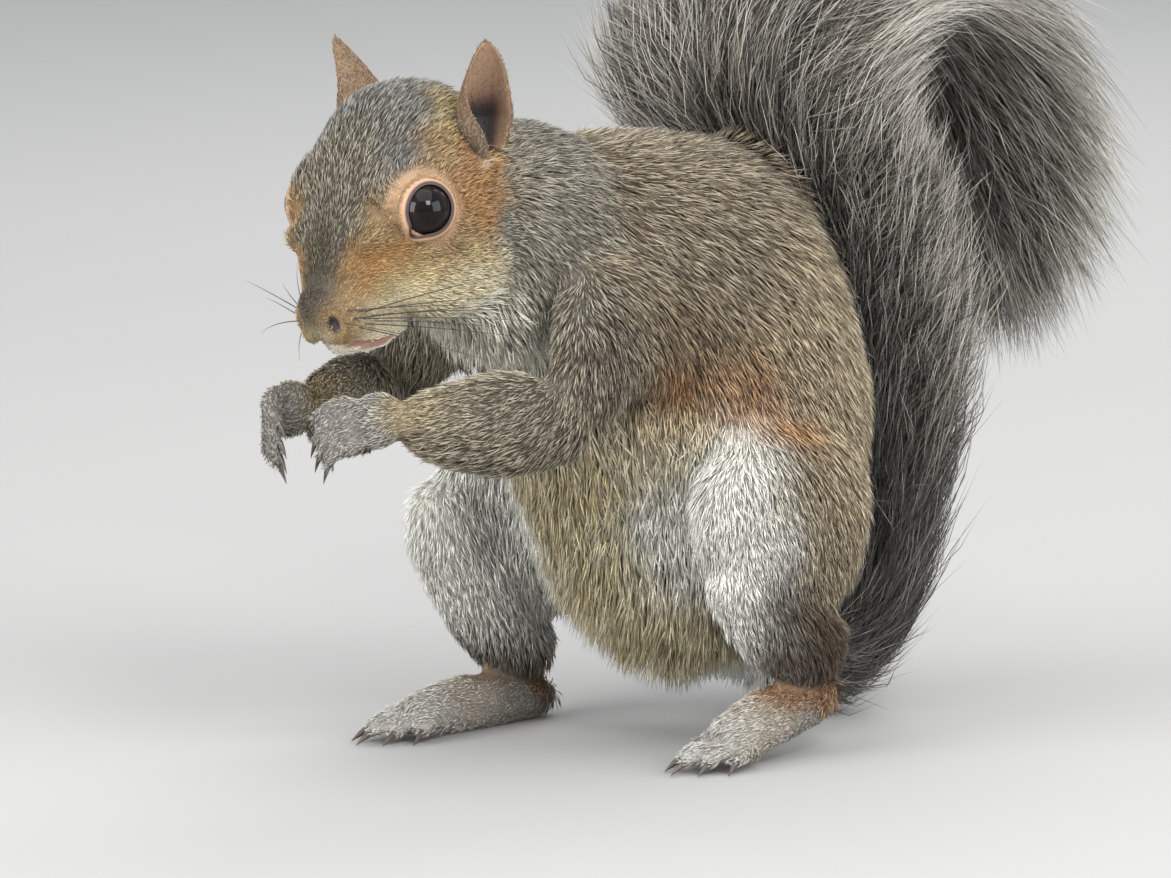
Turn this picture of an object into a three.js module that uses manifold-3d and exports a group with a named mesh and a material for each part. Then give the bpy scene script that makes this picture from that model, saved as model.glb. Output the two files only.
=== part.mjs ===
// An Eastern grey squirrel, life size, sitting up on its haunches with both hands held before its mouth.
// Millimetres, +Z up. The squirrel faces -Y and its left side is +X. Every form is the outer
// surface of the coat.
import * as THREE from "three";
import { LoftGeometry } from "three/addons/geometries/LoftGeometry.js";
import { mergeVertices } from "three/addons/utils/BufferGeometryUtils.js";
import Module from "manifold-3d";

const wasm = await Module();
wasm.setup();

const LEFT = new THREE.Vector3(1, 0, 0);
const PARTING = 0.35; // gap between neighbouring pieces

// Head, in its own frame: the origin lies midway between the ears and the nose
const HEAD_PLACE = new THREE.Vector3(-3, -65.5, 116.5);
const HEAD_PITCH = 20; // degrees, nose down
const HEAD_YAW = 0;
const HEAD_ROLL = -3; // degrees, left side up
const EYE_RADIUS = 6.2;
const EYE_PLACE = [16.2, -9.5, 7.5];
const EAR_LENGTH = 24.8;
const EAR_WIDTH = 13;
const EAR_WALL = 1.9;
const EAR_PLACE = [16.4, 12, 10.5];
const EAR_TURN = 1.25; // radians, opening turned outward from straight ahead
const EAR_LEAN = [-0.12, 0.24]; // radians, about X, which tips it back, and about Y, outward

// Hands and feet
const WRIST = [4.6, 5.2, 5]; // half width, half height above and below
const ANKLE = [5.5, 5.5, 6];
const INSTEP = [6, 7.5, 6];
const BALL = [8, 6, 6.5];
const BALL_SPAN = 4.5; // from the middle toe's root to the outermost one's
const FINGER_RADIUS = 2.1;
const TOE_LENGTH = 15;
const TOE_RADIUS = 2.7;
const TOE_FAN = 0.28; // sideways slope of the outermost toe against the middle one
const TOE_REST = [2.8, 4.2, 1.9]; // heights of a toe's root, joint and tip above the floor
const CLAW_LENGTH = 4.6;
const CLAW_RADIUS = 0.95;
const CLAW_OVERLAP = 1.5; // how far a claw is rooted in its toe

// ---------------------------------------------------------------------------------------------------------
// Making forms

// The section at u, from 0 to 1, of a form: superellipses set square to a smooth curve through the stations.
// A station is [x, y, z, half width, half height above the curve, half depth below it].
function sectionMaker(stations, { side = LEFT, around = 16, square = 2, grow = 0, pinch = 0 }) {
  const line = new THREE.CatmullRomCurve3(stations.map(([x, y, z]) => new THREE.Vector3(x, y, z)));
  const girth = new THREE.CatmullRomCurve3(
    stations.map(([, , , w, up, down]) => new THREE.Vector3(w, up, down)),
  );
  return (u, taper = 1) => {
    const centre = line.getPoint(u);
    const along = line.getTangent(u);
    const across = side.clone().addScaledVector(along, -side.dot(along)).normalize();
    const above = along.clone().cross(across);
    const half = girth.getPoint(u);
    const points = [];
    for (let j = 0; j < around; j++) {
      const angle = (2 * Math.PI * j) / around;
      const [c, s] = [Math.cos(angle), Math.sin(angle)];
      const depth = s > 0 ? half.y : half.z;
      const bulge = (Math.abs(c) ** square + Math.abs(s) ** square) ** (-1 / square);
      const thinned = 1 - pinch * Math.abs(c) ** 2; // a lens, thin at its two edges
      points.push(
        centre
          .clone()
          .addScaledVector(across, (half.x * taper + grow) * c * bulge)
          .addScaledVector(above, (depth * taper + grow) * s * bulge * thinned),
      );
    }
    return points;
  };
}

// A closed form with rounded ends. blunt is the power of the rounding: 1 gives an ellipsoid, less is blunter.
function form(stations, { rings = 12, bluntStart = 0.6, bluntEnd = 0.6, ...shape } = {}) {
  const section = sectionMaker(stations, shape);
  const sections = [];
  for (let i = 0; i < rings; i++) {
    const a = (Math.PI * (i + 0.35)) / (rings - 0.3);
    const taper = Math.sin(a) ** (a < Math.PI / 2 ? bluntStart : bluntEnd);
    sections.push(section((1 - Math.cos(a)) / 2, taper));
  }
  return new LoftGeometry(sections, { capStart: true, capEnd: true });
}

const grown = (stations, shape) => form(stations, { ...shape, grow: PARTING });

// ---------------------------------------------------------------------------------------------------------
// Joining and parting

function solid(geometry) {
  const bare = new THREE.BufferGeometry().setAttribute("position", geometry.getAttribute("position"));
  bare.setIndex(geometry.index);
  const merged = mergeVertices(bare, 1e-4);
  const mesh = { numProp: 3, vertProperties: merged.attributes.position.array };
  return new wasm.Manifold(new wasm.Mesh({ ...mesh, triVerts: new Uint32Array(merged.index.array) }));
}

function geometryOf(manifold) {
  const made = manifold.getMesh();
  const geometry = new THREE.BufferGeometry();
  geometry.setAttribute("position", new THREE.BufferAttribute(made.vertProperties, 3));
  geometry.setIndex(new THREE.BufferAttribute(made.triVerts, 1));
  geometry.computeVertexNormals();
  return geometry;
}

const joined = (geometries) => geometries.map(solid).reduce((whole, next) => whole.add(next));
const parted = (whole, cutters) => cutters.reduce((left, cutter) => left.subtract(solid(cutter)), whole);

const squirrel = new THREE.Group();

const COATS = {
  back: new THREE.MeshStandardMaterial({ color: 0x7d7161, roughness: 0.9 }),
  belly: new THREE.MeshStandardMaterial({ color: 0xcfc9b4, roughness: 0.9 }),
  russet: new THREE.MeshStandardMaterial({ color: 0x9a6a3e, roughness: 0.9 }),
  tail: new THREE.MeshStandardMaterial({ color: 0x77746d, roughness: 0.9 }),
  hand: new THREE.MeshStandardMaterial({ color: 0x8d857b, roughness: 0.9 }),
  eye: new THREE.MeshStandardMaterial({ color: 0x16100c, roughness: 0.1 }),
};

function add(name, manifold, coat, parent = squirrel) {
  const mesh = new THREE.Mesh(geometryOf(manifold), COATS[coat]);
  mesh.name = name;
  parent.add(mesh);
}

// The stations of a limb on one side, from those of the left: x changes sign with the side.
const onSide = (sign, stations) => stations.map(([x, ...rest]) => [sign * x, ...rest]);

// ---------------------------------------------------------------------------------------------------------
// Trunk and limbs, in the body's frame

const TRUNK = {
  stations: [
    [0, 40, 20, 22, 18, 16],
    [0, 26, 38, 36, 33, 30],
    [0, 12, 62, 40, 47, 36],
    [0, -2, 88, 37, 50, 36],
    [0, -22, 106, 28, 35, 32],
    [0, -42, 114, 20, 24, 24],
  ],
  shape: { rings: 12, around: 18, bluntStart: 0.5, bluntEnd: 0.6 },
};

const NECK = {
  stations: [
    [0, -20, 108, 24, 25, 28],
    [-1, -38, 115, 22, 22, 30],
    [-2, -56, 117, 19, 19, 27],
    [-2.5, -74, 110, 11, 12, 17],
  ],
  shape: { rings: 7, around: 12, bluntStart: 0.4, bluntEnd: 0.5 },
};

// The haunch and thigh, from the rump to the knee
const THIGH = {
  stations: [
    [25, 34, 36, 12, 18, 18],
    [31, 16, 46, 14, 27, 26],
    [36, -3, 54, 13, 24, 24],
    [39, -20, 58, 10, 13, 14],
  ],
  shape: { rings: 9, around: 14, bluntStart: 0.7, bluntEnd: 0.6 },
};

const SHANKS = {
  left: [
    [38, -14, 46, 9, 12, 12],
    [37, 1, 33, 9, 13, 12],
    [37, 13, 24, 8.5, 11, 11],
    [36, 21, 18, 6, 6, 7],
  ],
  right: [
    [39, -20, 56, 9.5, 12, 10],
    [39.5, -17, 44, 10, 13.5, 12],
    [39, -7, 30, 10, 14, 13],
    [38.5, 2, 17, 9, 12, 11],
    [38, 8, 10, 7, 7.5, 7],
  ],
};
const SHANK_SHAPE = { rings: 8, around: 12, bluntStart: 0.5, bluntEnd: 0.5 };

const UPPER_ARM = {
  stations: [
    [18, -22, 106, 9, 15, 15],
    [25, -36, 92, 9, 15, 14],
    [28, -47, 77, 8, 11, 11],
  ],
  shape: { rings: 8, around: 12, bluntStart: 0.6, bluntEnd: 0.5 },
};

// The loose skin that fills the fold between the trunk and the upper arm
const SHOULDER = {
  stations: [
    [17, -24, 108, 8, 14, 14],
    [25, -25, 94, 8, 14, 16],
    [28, -26, 80, 7, 12, 14],
  ],
  shape: { rings: 5, around: 8, bluntStart: 0.6, bluntEnd: 0.6 },
};

const FOREARMS = {
  left: [
    [29, -44, 75, 9, 11, 10],
    [22, -60, 76, 8, 12, 12],
    [14, -73, 77, 6.5, 8.5, 10.5],
    [10, -80, 77.5, 5, 6.5, 8],
  ],
  right: [
    [29, -44, 75, 9, 11, 10],
    [24, -60, 76, 8, 12, 12],
    [18, -75, 78, 6.5, 8.5, 10],
    [15, -82, 79, 5, 6.5, 7.5],
  ],
};
const FOREARM_SHAPE = { rings: 7, around: 12, bluntStart: 0.45, bluntEnd: 0.45 };

// ---------------------------------------------------------------------------------------------------------
// Hands and feet

const between = (a, b, t) => a.map((value, i) => value + (b[i] - value) * t);

// A finger or toe that curls from its root by way of its joints to its tip, with a claw that goes on from it.
function digit(points, radius, sign) {
  const [joint, tip] = points.slice(-2);
  const heading = new THREE.Vector3(...tip).sub(new THREE.Vector3(...joint)).normalize();
  const end = new THREE.Vector3(...tip);
  const clawRoot = end.clone().addScaledVector(heading, -CLAW_OVERLAP).toArray();
  const droop = new THREE.Vector3(0, 0, -0.25);
  const clawTip = end.clone().addScaledVector(heading.clone().add(droop), CLAW_LENGTH).toArray();
  const c = CLAW_RADIUS;
  const flesh = points.map((point, i) => {
    const r = radius * (1 - (0.25 * i) / points.length);
    return [...point, r, r, r];
  });
  const claw = [
    [...clawRoot, c, 1.3 * c, 1.3 * c],
    [...between(clawRoot, clawTip, 0.6), 0.8 * c, c, c],
    [...clawTip, 0.35 * c, 0.35 * c, 0.35 * c],
  ];
  return [
    form(onSide(sign, flesh), { rings: 5, around: 6, bluntStart: 0.35, bluntEnd: 0.4 }),
    form(onSide(sign, claw), { rings: 3, around: 4, bluntStart: 0.3, bluntEnd: 0.4 }),
  ];
}

// A hand, given for the left: a palm from wrist to knuckles, and four fingers that curl on from it.
// spread is the step from the middle of the row of knuckles to the last of them, and bend is how far a
// joint stands out.
function hand(sign, { wrist, knuckles, tips, spread, bend, palm }) {
  const pieces = [
    form(
      onSide(sign, [
        [...wrist, ...WRIST],
        [...between(wrist, knuckles, 0.6), ...palm],
        [...knuckles, ...palm.map((value) => 0.87 * value)],
      ]),
      { rings: 6, around: 10, bluntStart: 0.5, bluntEnd: 0.5 },
    ),
  ];
  for (let k = 0; k < 4; k++) {
    const row = (k - 1.5) / 1.5; // -1 for the first finger to 1 for the last
    const shift = spread.map((value) => value * row);
    const root = between(wrist, knuckles, 0.75).map((value, i) => value + 0.8 * shift[i]);
    const knuckle = knuckles.map((value, i) => value + shift[i]);
    const reach = 1 - 0.12 * row ** 2;
    const tip = tips.map((value, i) => knuckle[i] + (value + 1.05 * shift[i] - knuckle[i]) * reach);
    const joint = between(knuckle, tip, 0.55).map((value, i) => value + bend[i]);
    pieces.push(...digit([root, knuckle, joint, tip], FINGER_RADIUS, sign));
  }
  return joined(pieces);
}

// A foot, given for the left: heel, instep and ball, with five toes that fan out along the floor.
function foot(sign, { heel, ball, toeSlope }) {
  const pieces = [
    form(
      onSide(sign, [
        [...heel, ...ANKLE],
        [...between(heel, ball, 0.55), ...INSTEP],
        [...ball, ...BALL],
      ]),
      { rings: 7, around: 10, bluntStart: 0.5, bluntEnd: 0.4 },
    ),
  ];
  for (let k = 0; k < 5; k++) {
    const row = (k - 2) / 2; // -1 for the inner toe to 1 for the outer
    const length = TOE_LENGTH * (1 - 0.28 * row ** 2);
    const aim = new THREE.Vector3(toeSlope + TOE_FAN * row, -1, 0).normalize();
    const root = new THREE.Vector3(ball[0] + BALL_SPAN * row, ball[1] + 3 + 4 * Math.abs(row), 0);
    const toe = TOE_REST.map((height, i) => {
      const point = root.clone().addScaledVector(aim, 0.5 * i * length);
      return [point.x, point.y, height];
    });
    pieces.push(...digit(toe, TOE_RADIUS, sign));
  }
  return joined(pieces);
}

const HANDS = {
  left: {
    wrist: [11, -78, 78],
    knuckles: [4, -88, 77],
    tips: [-2, -93, 71],
    spread: [1.2, 0.5, -4.2],
    bend: [0.6, -2.6, 1],
    palm: [4.2, 6.2, 6.2],
  },
  right: {
    wrist: [15, -82, 79],
    knuckles: [14, -93, 78],
    tips: [7, -98, 71],
    spread: [0.6, 0.6, -4.4],
    bend: [0.6, -2.6, 1],
    palm: [4.2, 6.2, 6.2],
  },
};
const FEET = {
  left: { heel: [36, 22, 13], ball: [36.5, -14, 4.8], toeSlope: 0.08 },
  right: { heel: [38, 12, 4.8], ball: [36.5, -34, 4.6], toeSlope: -0.04 },
};

// ---------------------------------------------------------------------------------------------------------
// The floor's half space, which gives each foot and the root of the tail its flat

const FLOOR = new THREE.BoxGeometry(600, 600, 60).translate(0, 0, -30);
const onFloor = (manifold) => manifold.subtract(solid(FLOOR));

// ---------------------------------------------------------------------------------------------------------
// Head

const headFrame = new THREE.Group();
headFrame.position.copy(HEAD_PLACE);
headFrame.rotation.set(
  THREE.MathUtils.degToRad(HEAD_PITCH),
  THREE.MathUtils.degToRad(HEAD_ROLL),
  THREE.MathUtils.degToRad(HEAD_YAW),
  "ZYX",
);
headFrame.updateMatrix();
squirrel.add(headFrame);

// From the back of the skull to the tip of the nose
const HEAD = {
  stations: [
    [0, 27, -1, 14, 19, 14],
    [0, 16, 0, 20, 28, 18],
    [0, 5, 0.5, 22, 30, 19],
    [0, -6, -1, 21, 25, 17.5],
    [0, -16.5, -4, 15.8, 16.8, 14],
    [0, -26, -7.5, 9.8, 10, 9],
    [0, -33.5, -9, 6.8, 6.5, 6],
  ],
  shape: { rings: 13, around: 18, bluntStart: 0.55, bluntEnd: 0.45, square: 2.1 },
};

// Swellings that ride on the skull: [x, y, z, then the three half sizes], each given for the left side
const SWELLINGS = {
  cheek: [11.5, -2, -8, 10.5, 16, 12],
  brow: [12.4, -7, 11.5, 8, 11.5, 7.5],
  whiskerPad: [3.6, -25.5, -9, 5.8, 8, 6],
  lowerJaw: [2.6, -19, -14.5, 6.5, 10, 5],
};

function swelling(sign, [x, y, z, ...half], grow = 0) {
  const unit = new THREE.SphereGeometry(1, 8, 6);
  return unit.scale(...half.map((value) => value + grow)).translate(sign * x, y, z);
}

function eyeball(sign, grow = 0) {
  const [x, y, z] = EYE_PLACE;
  return new THREE.SphereGeometry(EYE_RADIUS + grow, 10, 7).translate(sign * x, y, z);
}

// A cupped leaf: crescent sections stacked from the ear's root to its tip, open to the side.
function ear(sign) {
  const sections = [];
  const LEVELS = 8;
  const ARC = 6; // points along each of the two arcs of a crescent
  for (let i = 0; i <= LEVELS; i++) {
    const h = i / LEVELS;
    const rounding = Math.min(1, 0.7 + 1.2 * h) * Math.max(0.1, (1 - h ** 2.4) ** 0.62);
    const halfWidth = 0.5 * EAR_WIDTH * rounding;
    const cup = 1.1 * halfWidth * (1 - 0.45 * h);
    const points = [];
    for (let j = 0; j < 2 * ARC; j++) {
      const outer = j < ARC;
      const t = outer ? 1 - (2 * j) / (ARC - 1) : (2 * (j - ARC) + 1) / ARC - 1;
      const wall = outer ? 0 : EAR_WALL * (1 - 0.35 * h) * Math.sqrt(1 - 0.75 * t * t);
      const across = t * halfWidth * (outer ? 1 : 0.98);
      points.push(new THREE.Vector3(across, (1 - t * t) * cup - wall, h * EAR_LENGTH));
    }
    sections.push(points);
  }
  const leaf = new LoftGeometry(sections, { capStart: true, capEnd: true });
  leaf.rotateZ(EAR_TURN);
  leaf.rotateX(EAR_LEAN[0]);
  leaf.rotateY(EAR_LEAN[1]);
  leaf.translate(...EAR_PLACE);
  return sign > 0 ? leaf : mirrored(leaf);
}

// The same geometry on the other side of the body's middle plane, with its faces turned back out
function mirrored(geometry) {
  const other = new THREE.BufferGeometry().copy(geometry).scale(-1, 1, 1);
  const index = other.index.array;
  for (let i = 0; i < index.length; i += 3) [index[i + 1], index[i + 2]] = [index[i + 2], index[i + 1]];
  return other;
}

const headForms = [form(HEAD.stations, HEAD.shape)];
const headGrownForms = [grown(HEAD.stations, HEAD.shape)];
for (const place of Object.values(SWELLINGS)) {
  headForms.push(swelling(1, place), swelling(-1, place));
  headGrownForms.push(swelling(1, place, PARTING), swelling(-1, place, PARTING));
}
add("head", parted(joined(headForms), [eyeball(1, PARTING), eyeball(-1, PARTING)]), "back", headFrame);
const headGrown = geometryOf(joined(headGrownForms));
for (const [name, sign] of [["left", 1], ["right", -1]]) {
  add("eye_" + name, solid(eyeball(sign)), "eye", headFrame);
  add("ear_" + name, parted(solid(ear(sign)), [headGrown]), "russet", headFrame);
}
const headInBody = new THREE.BufferGeometry().copy(headGrown).applyMatrix4(headFrame.matrix);

// ---------------------------------------------------------------------------------------------------------
// Tail: a flat plume that leaves the rump at the floor, climbs behind the back and curls over backwards

const TAIL = {
  stations: [
    [0, 40, 15, 15, 13, 13],
    [0, 54, 10.5, 17, 12, 14],
    [0, 67, 30, 20, 12, 12],
    [0, 67, 62, 29, 12, 13],
    [0, 60, 90, 44, 12, 12],
    [0, 47, 118, 49, 12, 12],
    [0, 33, 142, 52, 12, 11],
    [0, 44, 158, 53, 12, 12],
    [0, 66, 160, 52, 12, 12],
    [0, 86, 146, 52, 12, 12],
    [0, 97, 118, 52, 11, 11],
    [0, 100, 72, 40, 7, 7],
  ],
  shape: { around: 16, pinch: 0.75 },
};
const TAIL_LENGTHS = [
  ["tail_root", 0, 0.22, 6],
  ["tail_middle", 0.22, 0.44, 6],
  ["tail_upper", 0.44, 0.58, 5],
  ["tail_crown", 0.58, 0.76, 6],
  ["tail_tip", 0.76, 1, 7],
];
const TAIL_PARTING = 0.0008; // half a gap, as a share of the tail's length

function tailLength(from, to, rings) {
  const section = sectionMaker(TAIL.stations, TAIL.shape);
  const sections = [];
  for (let i = 0; i <= rings; i++) {
    const u = THREE.MathUtils.lerp(from + TAIL_PARTING, to - TAIL_PARTING, i / rings);
    sections.push(section(u, to === 1 ? Math.max(0.3, 1 - (i / rings) ** 5) : 1));
  }
  return new LoftGeometry(sections, { capStart: true, capEnd: true });
}

// ---------------------------------------------------------------------------------------------------------
// Assembly: limbs keep their whole form, and the trunk is hollowed to take them

const trunkForms = [form(TRUNK.stations, TRUNK.shape)];
const trunkGrownForms = [grown(TRUNK.stations, TRUNK.shape)];
for (const sign of [1, -1]) {
  const shoulder = onSide(sign, SHOULDER.stations);
  trunkForms.push(form(shoulder, SHOULDER.shape));
  trunkGrownForms.push(grown(shoulder, SHOULDER.shape));
}
const trunkGrown = geometryOf(joined(trunkGrownForms));
const trunkCutters = [headInBody];
const neckCutters = [headInBody, trunkGrown];
const tailCutters = [trunkGrown];

for (const [name, sign] of [["left", 1], ["right", -1]]) {
  const thigh = onSide(sign, THIGH.stations);
  const upperArm = onSide(sign, UPPER_ARM.stations);
  const shank = onSide(sign, SHANKS[name]);
  const forearm = onSide(sign, FOREARMS[name]);
  const thighGrown = grown(thigh, THIGH.shape);
  const upperArmGrown = grown(upperArm, UPPER_ARM.shape);
  const shankGrown = grown(shank, SHANK_SHAPE);
  trunkCutters.push(thighGrown, upperArmGrown);
  neckCutters.push(upperArmGrown);
  tailCutters.push(thighGrown, shankGrown);

  add("thigh_" + name, solid(form(thigh, THIGH.shape)), "back");
  add("shank_" + name, onFloor(parted(solid(form(shank, SHANK_SHAPE)), [thighGrown, trunkGrown])), "russet");
  add("foot_" + name, onFloor(parted(foot(sign, FEET[name]), [shankGrown, thighGrown])), "hand");
  add("upper_arm_" + name, solid(form(upperArm, UPPER_ARM.shape)), "back");
  add("forearm_" + name, parted(solid(form(forearm, FOREARM_SHAPE)), [upperArmGrown, trunkGrown]), "back");
  add("hand_" + name, parted(hand(sign, HANDS[name]), [grown(forearm, FOREARM_SHAPE)]), "hand");
}

add("neck", parted(solid(form(NECK.stations, NECK.shape)), neckCutters), "back");
add("trunk", parted(joined(trunkForms), trunkCutters), "back");

for (const [name, from, to, rings] of TAIL_LENGTHS) {
  add(name, onFloor(parted(solid(tailLength(from, to, rings)), tailCutters)), "tail");
}

// The origin is the middle of the model's box, on the floor
const box = new THREE.Box3().setFromObject(squirrel, true);
squirrel.position.set((box.min.x + box.max.x) / -2, (box.min.y + box.max.y) / -2, -box.min.z);

export default squirrel;
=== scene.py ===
import math

import bpy
import numpy as np
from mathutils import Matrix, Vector
from mathutils.kdtree import KDTree


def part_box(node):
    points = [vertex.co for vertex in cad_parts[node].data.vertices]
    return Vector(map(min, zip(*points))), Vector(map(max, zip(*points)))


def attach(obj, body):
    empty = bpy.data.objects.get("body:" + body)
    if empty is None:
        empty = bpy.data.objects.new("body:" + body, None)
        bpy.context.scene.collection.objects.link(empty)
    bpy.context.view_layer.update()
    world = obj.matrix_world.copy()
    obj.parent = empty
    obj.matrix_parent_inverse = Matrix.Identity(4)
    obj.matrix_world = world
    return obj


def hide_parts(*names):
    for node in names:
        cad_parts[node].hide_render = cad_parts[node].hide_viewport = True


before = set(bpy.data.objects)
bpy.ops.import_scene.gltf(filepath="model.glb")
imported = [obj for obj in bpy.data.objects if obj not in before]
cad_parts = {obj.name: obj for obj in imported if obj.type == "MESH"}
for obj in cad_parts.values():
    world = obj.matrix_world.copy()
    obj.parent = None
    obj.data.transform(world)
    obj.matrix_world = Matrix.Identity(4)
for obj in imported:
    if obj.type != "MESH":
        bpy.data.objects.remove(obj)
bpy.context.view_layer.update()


# ---------------------------------------------------------------------------------------------------------
# The eyes
# Two nearly black globes, each with a clear bulging cornea, wet and glossy. They sit deep in the head
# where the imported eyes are. Their places also fix the frame that every size below is given in:
# millimetres, +Z up, the squirrel faces -Y and its left side is +X.

MM = 0.001
HEAD_PITCH = math.radians(20)  # nose down
HEAD_ROLL = math.radians(-3)  # left side up
HEAD_PLACE = np.array([-3, -65.5, 116.5])
EYE_PLACE = np.array([16.2, -9.5, 7.5])  # the left eye, in the head's own frame
EYE_RADIUS = 6.2
EYE_AXIS = np.array([0.925, -0.29, 0.19])  # the way the left eye looks, in the head's own frame


def unit(vectors):
    """Each row of the array divided by its own length."""
    vectors = np.asarray(vectors, float)
    return vectors / np.maximum(np.linalg.norm(vectors, axis=-1, keepdims=True), 1e-9)


def turn_about(axis, angle):
    """The matrix that turns by an angle about axis 0, 1 or 2 (X, Y or Z)."""
    turn = np.eye(3)
    i, j = (axis + 1) % 3, (axis + 2) % 3
    turn[i, i] = turn[j, j] = math.cos(angle)
    turn[i, j], turn[j, i] = -math.sin(angle), math.sin(angle)
    return turn


HEAD_TURN = turn_about(1, HEAD_ROLL) @ turn_about(0, HEAD_PITCH)
EYE_AXIS = unit(EYE_AXIS)
eyes_middle = np.mean([np.mean(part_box(name), axis=0) for name in ("eye_left", "eye_right")], axis=0) / MM
FRAME_SHIFT = eyes_middle - (HEAD_PLACE + HEAD_TURN @ [0, EYE_PLACE[1], EYE_PLACE[2]])


def from_head(points):
    """Points of the head's own frame in the body's: turned, then moved to the head's place."""
    return np.asarray(points, float) @ HEAD_TURN.T + HEAD_PLACE


def to_head(points):
    """Points of the body's frame in the head's own: moved back, then turned back."""
    return (np.asarray(points, float) - HEAD_PLACE) @ HEAD_TURN


class Flow:
    """A socket's value in a material. Adding to it or multiplying it adds a Math node."""

    def __init__(self, finish, socket):
        self.finish, self.socket = finish, socket

    def __add__(self, other):
        return self.finish.add("ShaderNodeMath", {"operation": "ADD"}, {0: self, 1: other})

    def __mul__(self, other):
        return self.finish.add("ShaderNodeMath", {"operation": "MULTIPLY"}, {0: self, 1: other})


class Finish:
    """A node material for one kind of surface. add() makes a node from its type, settings and inputs."""

    def __init__(self, name):
        self.material = bpy.data.materials.new(name)
        self.material.use_nodes = True
        self.tree = self.material.node_tree
        self.tree.nodes.clear()

    def add(self, kind, settings=None, inputs=None, out=0):
        node = self.tree.nodes.new(kind)
        for key, value in (settings or {}).items():
            if key == "stops":
                ramp = node.color_ramp
                while len(ramp.elements) < len(value):
                    ramp.elements.new(0.5)
                for element, (place, colour) in zip(ramp.elements, value):
                    element.position, element.color = place, (*colour, 1)
            else:
                setattr(node, key, value)
        for key, value in (inputs or {}).items():
            socket = node.inputs[key]
            if isinstance(value, Flow):
                self.tree.links.new(value.socket, socket)
            else:
                socket.default_value = value
        return Flow(self, node.outputs[out] if len(node.outputs) else None)

    def mix(self, factor, a, b, blend="MIX"):
        """The colour a where the factor is 0 and b where it is 1."""
        settings = {"data_type": "RGBA", "blend_type": blend}
        a, b = (value if isinstance(value, Flow) else (*value, 1) for value in (a, b))
        return self.add("ShaderNodeMix", settings, {0: factor, 6: a, 7: b}, out=2)

    def noise(self, scale, detail=2.0, roughness=0.5):
        """Fractal noise on the object's own coordinates, scale in lumps to the metre."""
        place = self.add("ShaderNodeTexCoord", out=3)
        inputs = {"Vector": place, "Scale": scale, "Detail": detail, "Roughness": roughness}
        return self.add("ShaderNodeTexNoise", None, inputs)

    def tinted(self, share, shade):
        """The mesh's own tint, and by a share of 0 to 1 that tint times a shade."""
        tint = self.add("ShaderNodeAttribute", {"attribute_name": "tint"})
        return self.mix(share, tint, self.mix(1.0, tint, shade, "MULTIPLY"))

    def surface(self, **inputs):
        """The material's one shader, from its socket names with _ for a space."""
        inputs = {key.replace("_", " "): value for key, value in inputs.items()}
        shader = self.add("ShaderNodeBsdfPrincipled", None, inputs)
        self.add("ShaderNodeOutputMaterial", None, {"Surface": shader})
        return self.material


def linear(colour):
    """A colour of 0 to 255 as it is seen, in the linear light that a shader takes."""
    c = np.asarray(colour, float) / 255
    return np.where(c < 0.04045, c / 12.92, ((c + 0.055) / 1.055) ** 2.4)


def mesh_of(name, points, faces):
    """A smooth-shaded mesh of points in millimetres of the body's frame and rows of point numbers."""
    mesh = bpy.data.meshes.new(name)
    faces = np.asarray(faces, np.int32)
    mesh.vertices.add(len(points))
    mesh.vertices.foreach_set("co", ((np.asarray(points) + FRAME_SHIFT) * MM).astype(np.float32).ravel())
    mesh.loops.add(faces.size)
    mesh.loops.foreach_set("vertex_index", faces.ravel())
    mesh.polygons.add(len(faces))
    mesh.polygons.foreach_set("loop_start", np.arange(0, faces.size, faces.shape[1], dtype=np.int32))
    mesh.polygons.foreach_set("use_smooth", np.ones(len(faces), bool))
    mesh.update(calc_edges=True)
    return mesh


def piece_of(name, mesh, material, slot, *replaced):
    """A finished piece: rides the squirrel's one body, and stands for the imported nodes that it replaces."""
    piece = bpy.data.objects.new(name, mesh)
    bpy.context.scene.collection.objects.link(piece)
    mesh.materials.append(material)
    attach(piece, "root")
    if replaced:
        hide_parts(*replaced)
    return piece


def colour_mesh(mesh, name, colours):
    """Keeps one linear colour for each point of the mesh, under a name that a material can read."""
    rgba = np.ones((len(colours), 4), np.float32)
    rgba[:, :3] = colours
    mesh.color_attributes.new(name, "FLOAT_COLOR", "POINT").data.foreach_set("color", rgba.ravel())


def frame_about(axis):
    """Two unit vectors square to an axis and to each other: one forward and down, the other up."""
    up = unit(np.array([0, 0, 1.0]) - axis * axis[2])
    return np.cross(axis, up), up


def about_eye(t, p):
    """What a way at angle t from the eye's axis, and at p round it, has square to the axis."""
    forward, up = frame_about(EYE_AXIS)
    return np.sin(t)[..., None] * (np.cos(p)[..., None] * forward + np.sin(p)[..., None] * up)


def globe(rings=40, around=64, bulge=0.045):
    """A sphere with its pole on the eye's axis, in the head's frame: at angle t from the axis its radius is
    the eye's, times 1 + bulge exp(-(t / 0.6)^2) for the cornea, and that is brought back to the eye's
    size."""
    t = np.linspace(0, np.pi, rings + 1)[1:-1, None]
    p = np.linspace(0, 2 * np.pi, around, endpoint=False)[None, :]
    radius = EYE_RADIUS * (1 + bulge * np.exp(-((t / 0.6) ** 2))) / (1 + bulge)
    grid = radius[..., None] * (np.cos(t)[..., None] * EYE_AXIS + about_eye(t, p))
    poles = np.array([EYE_AXIS * EYE_RADIUS, -EYE_AXIS * EYE_RADIUS / (1 + bulge)])
    return np.concatenate([grid.reshape(-1, 3), poles]) + EYE_PLACE, capped_grid(rings - 1, around)


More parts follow.
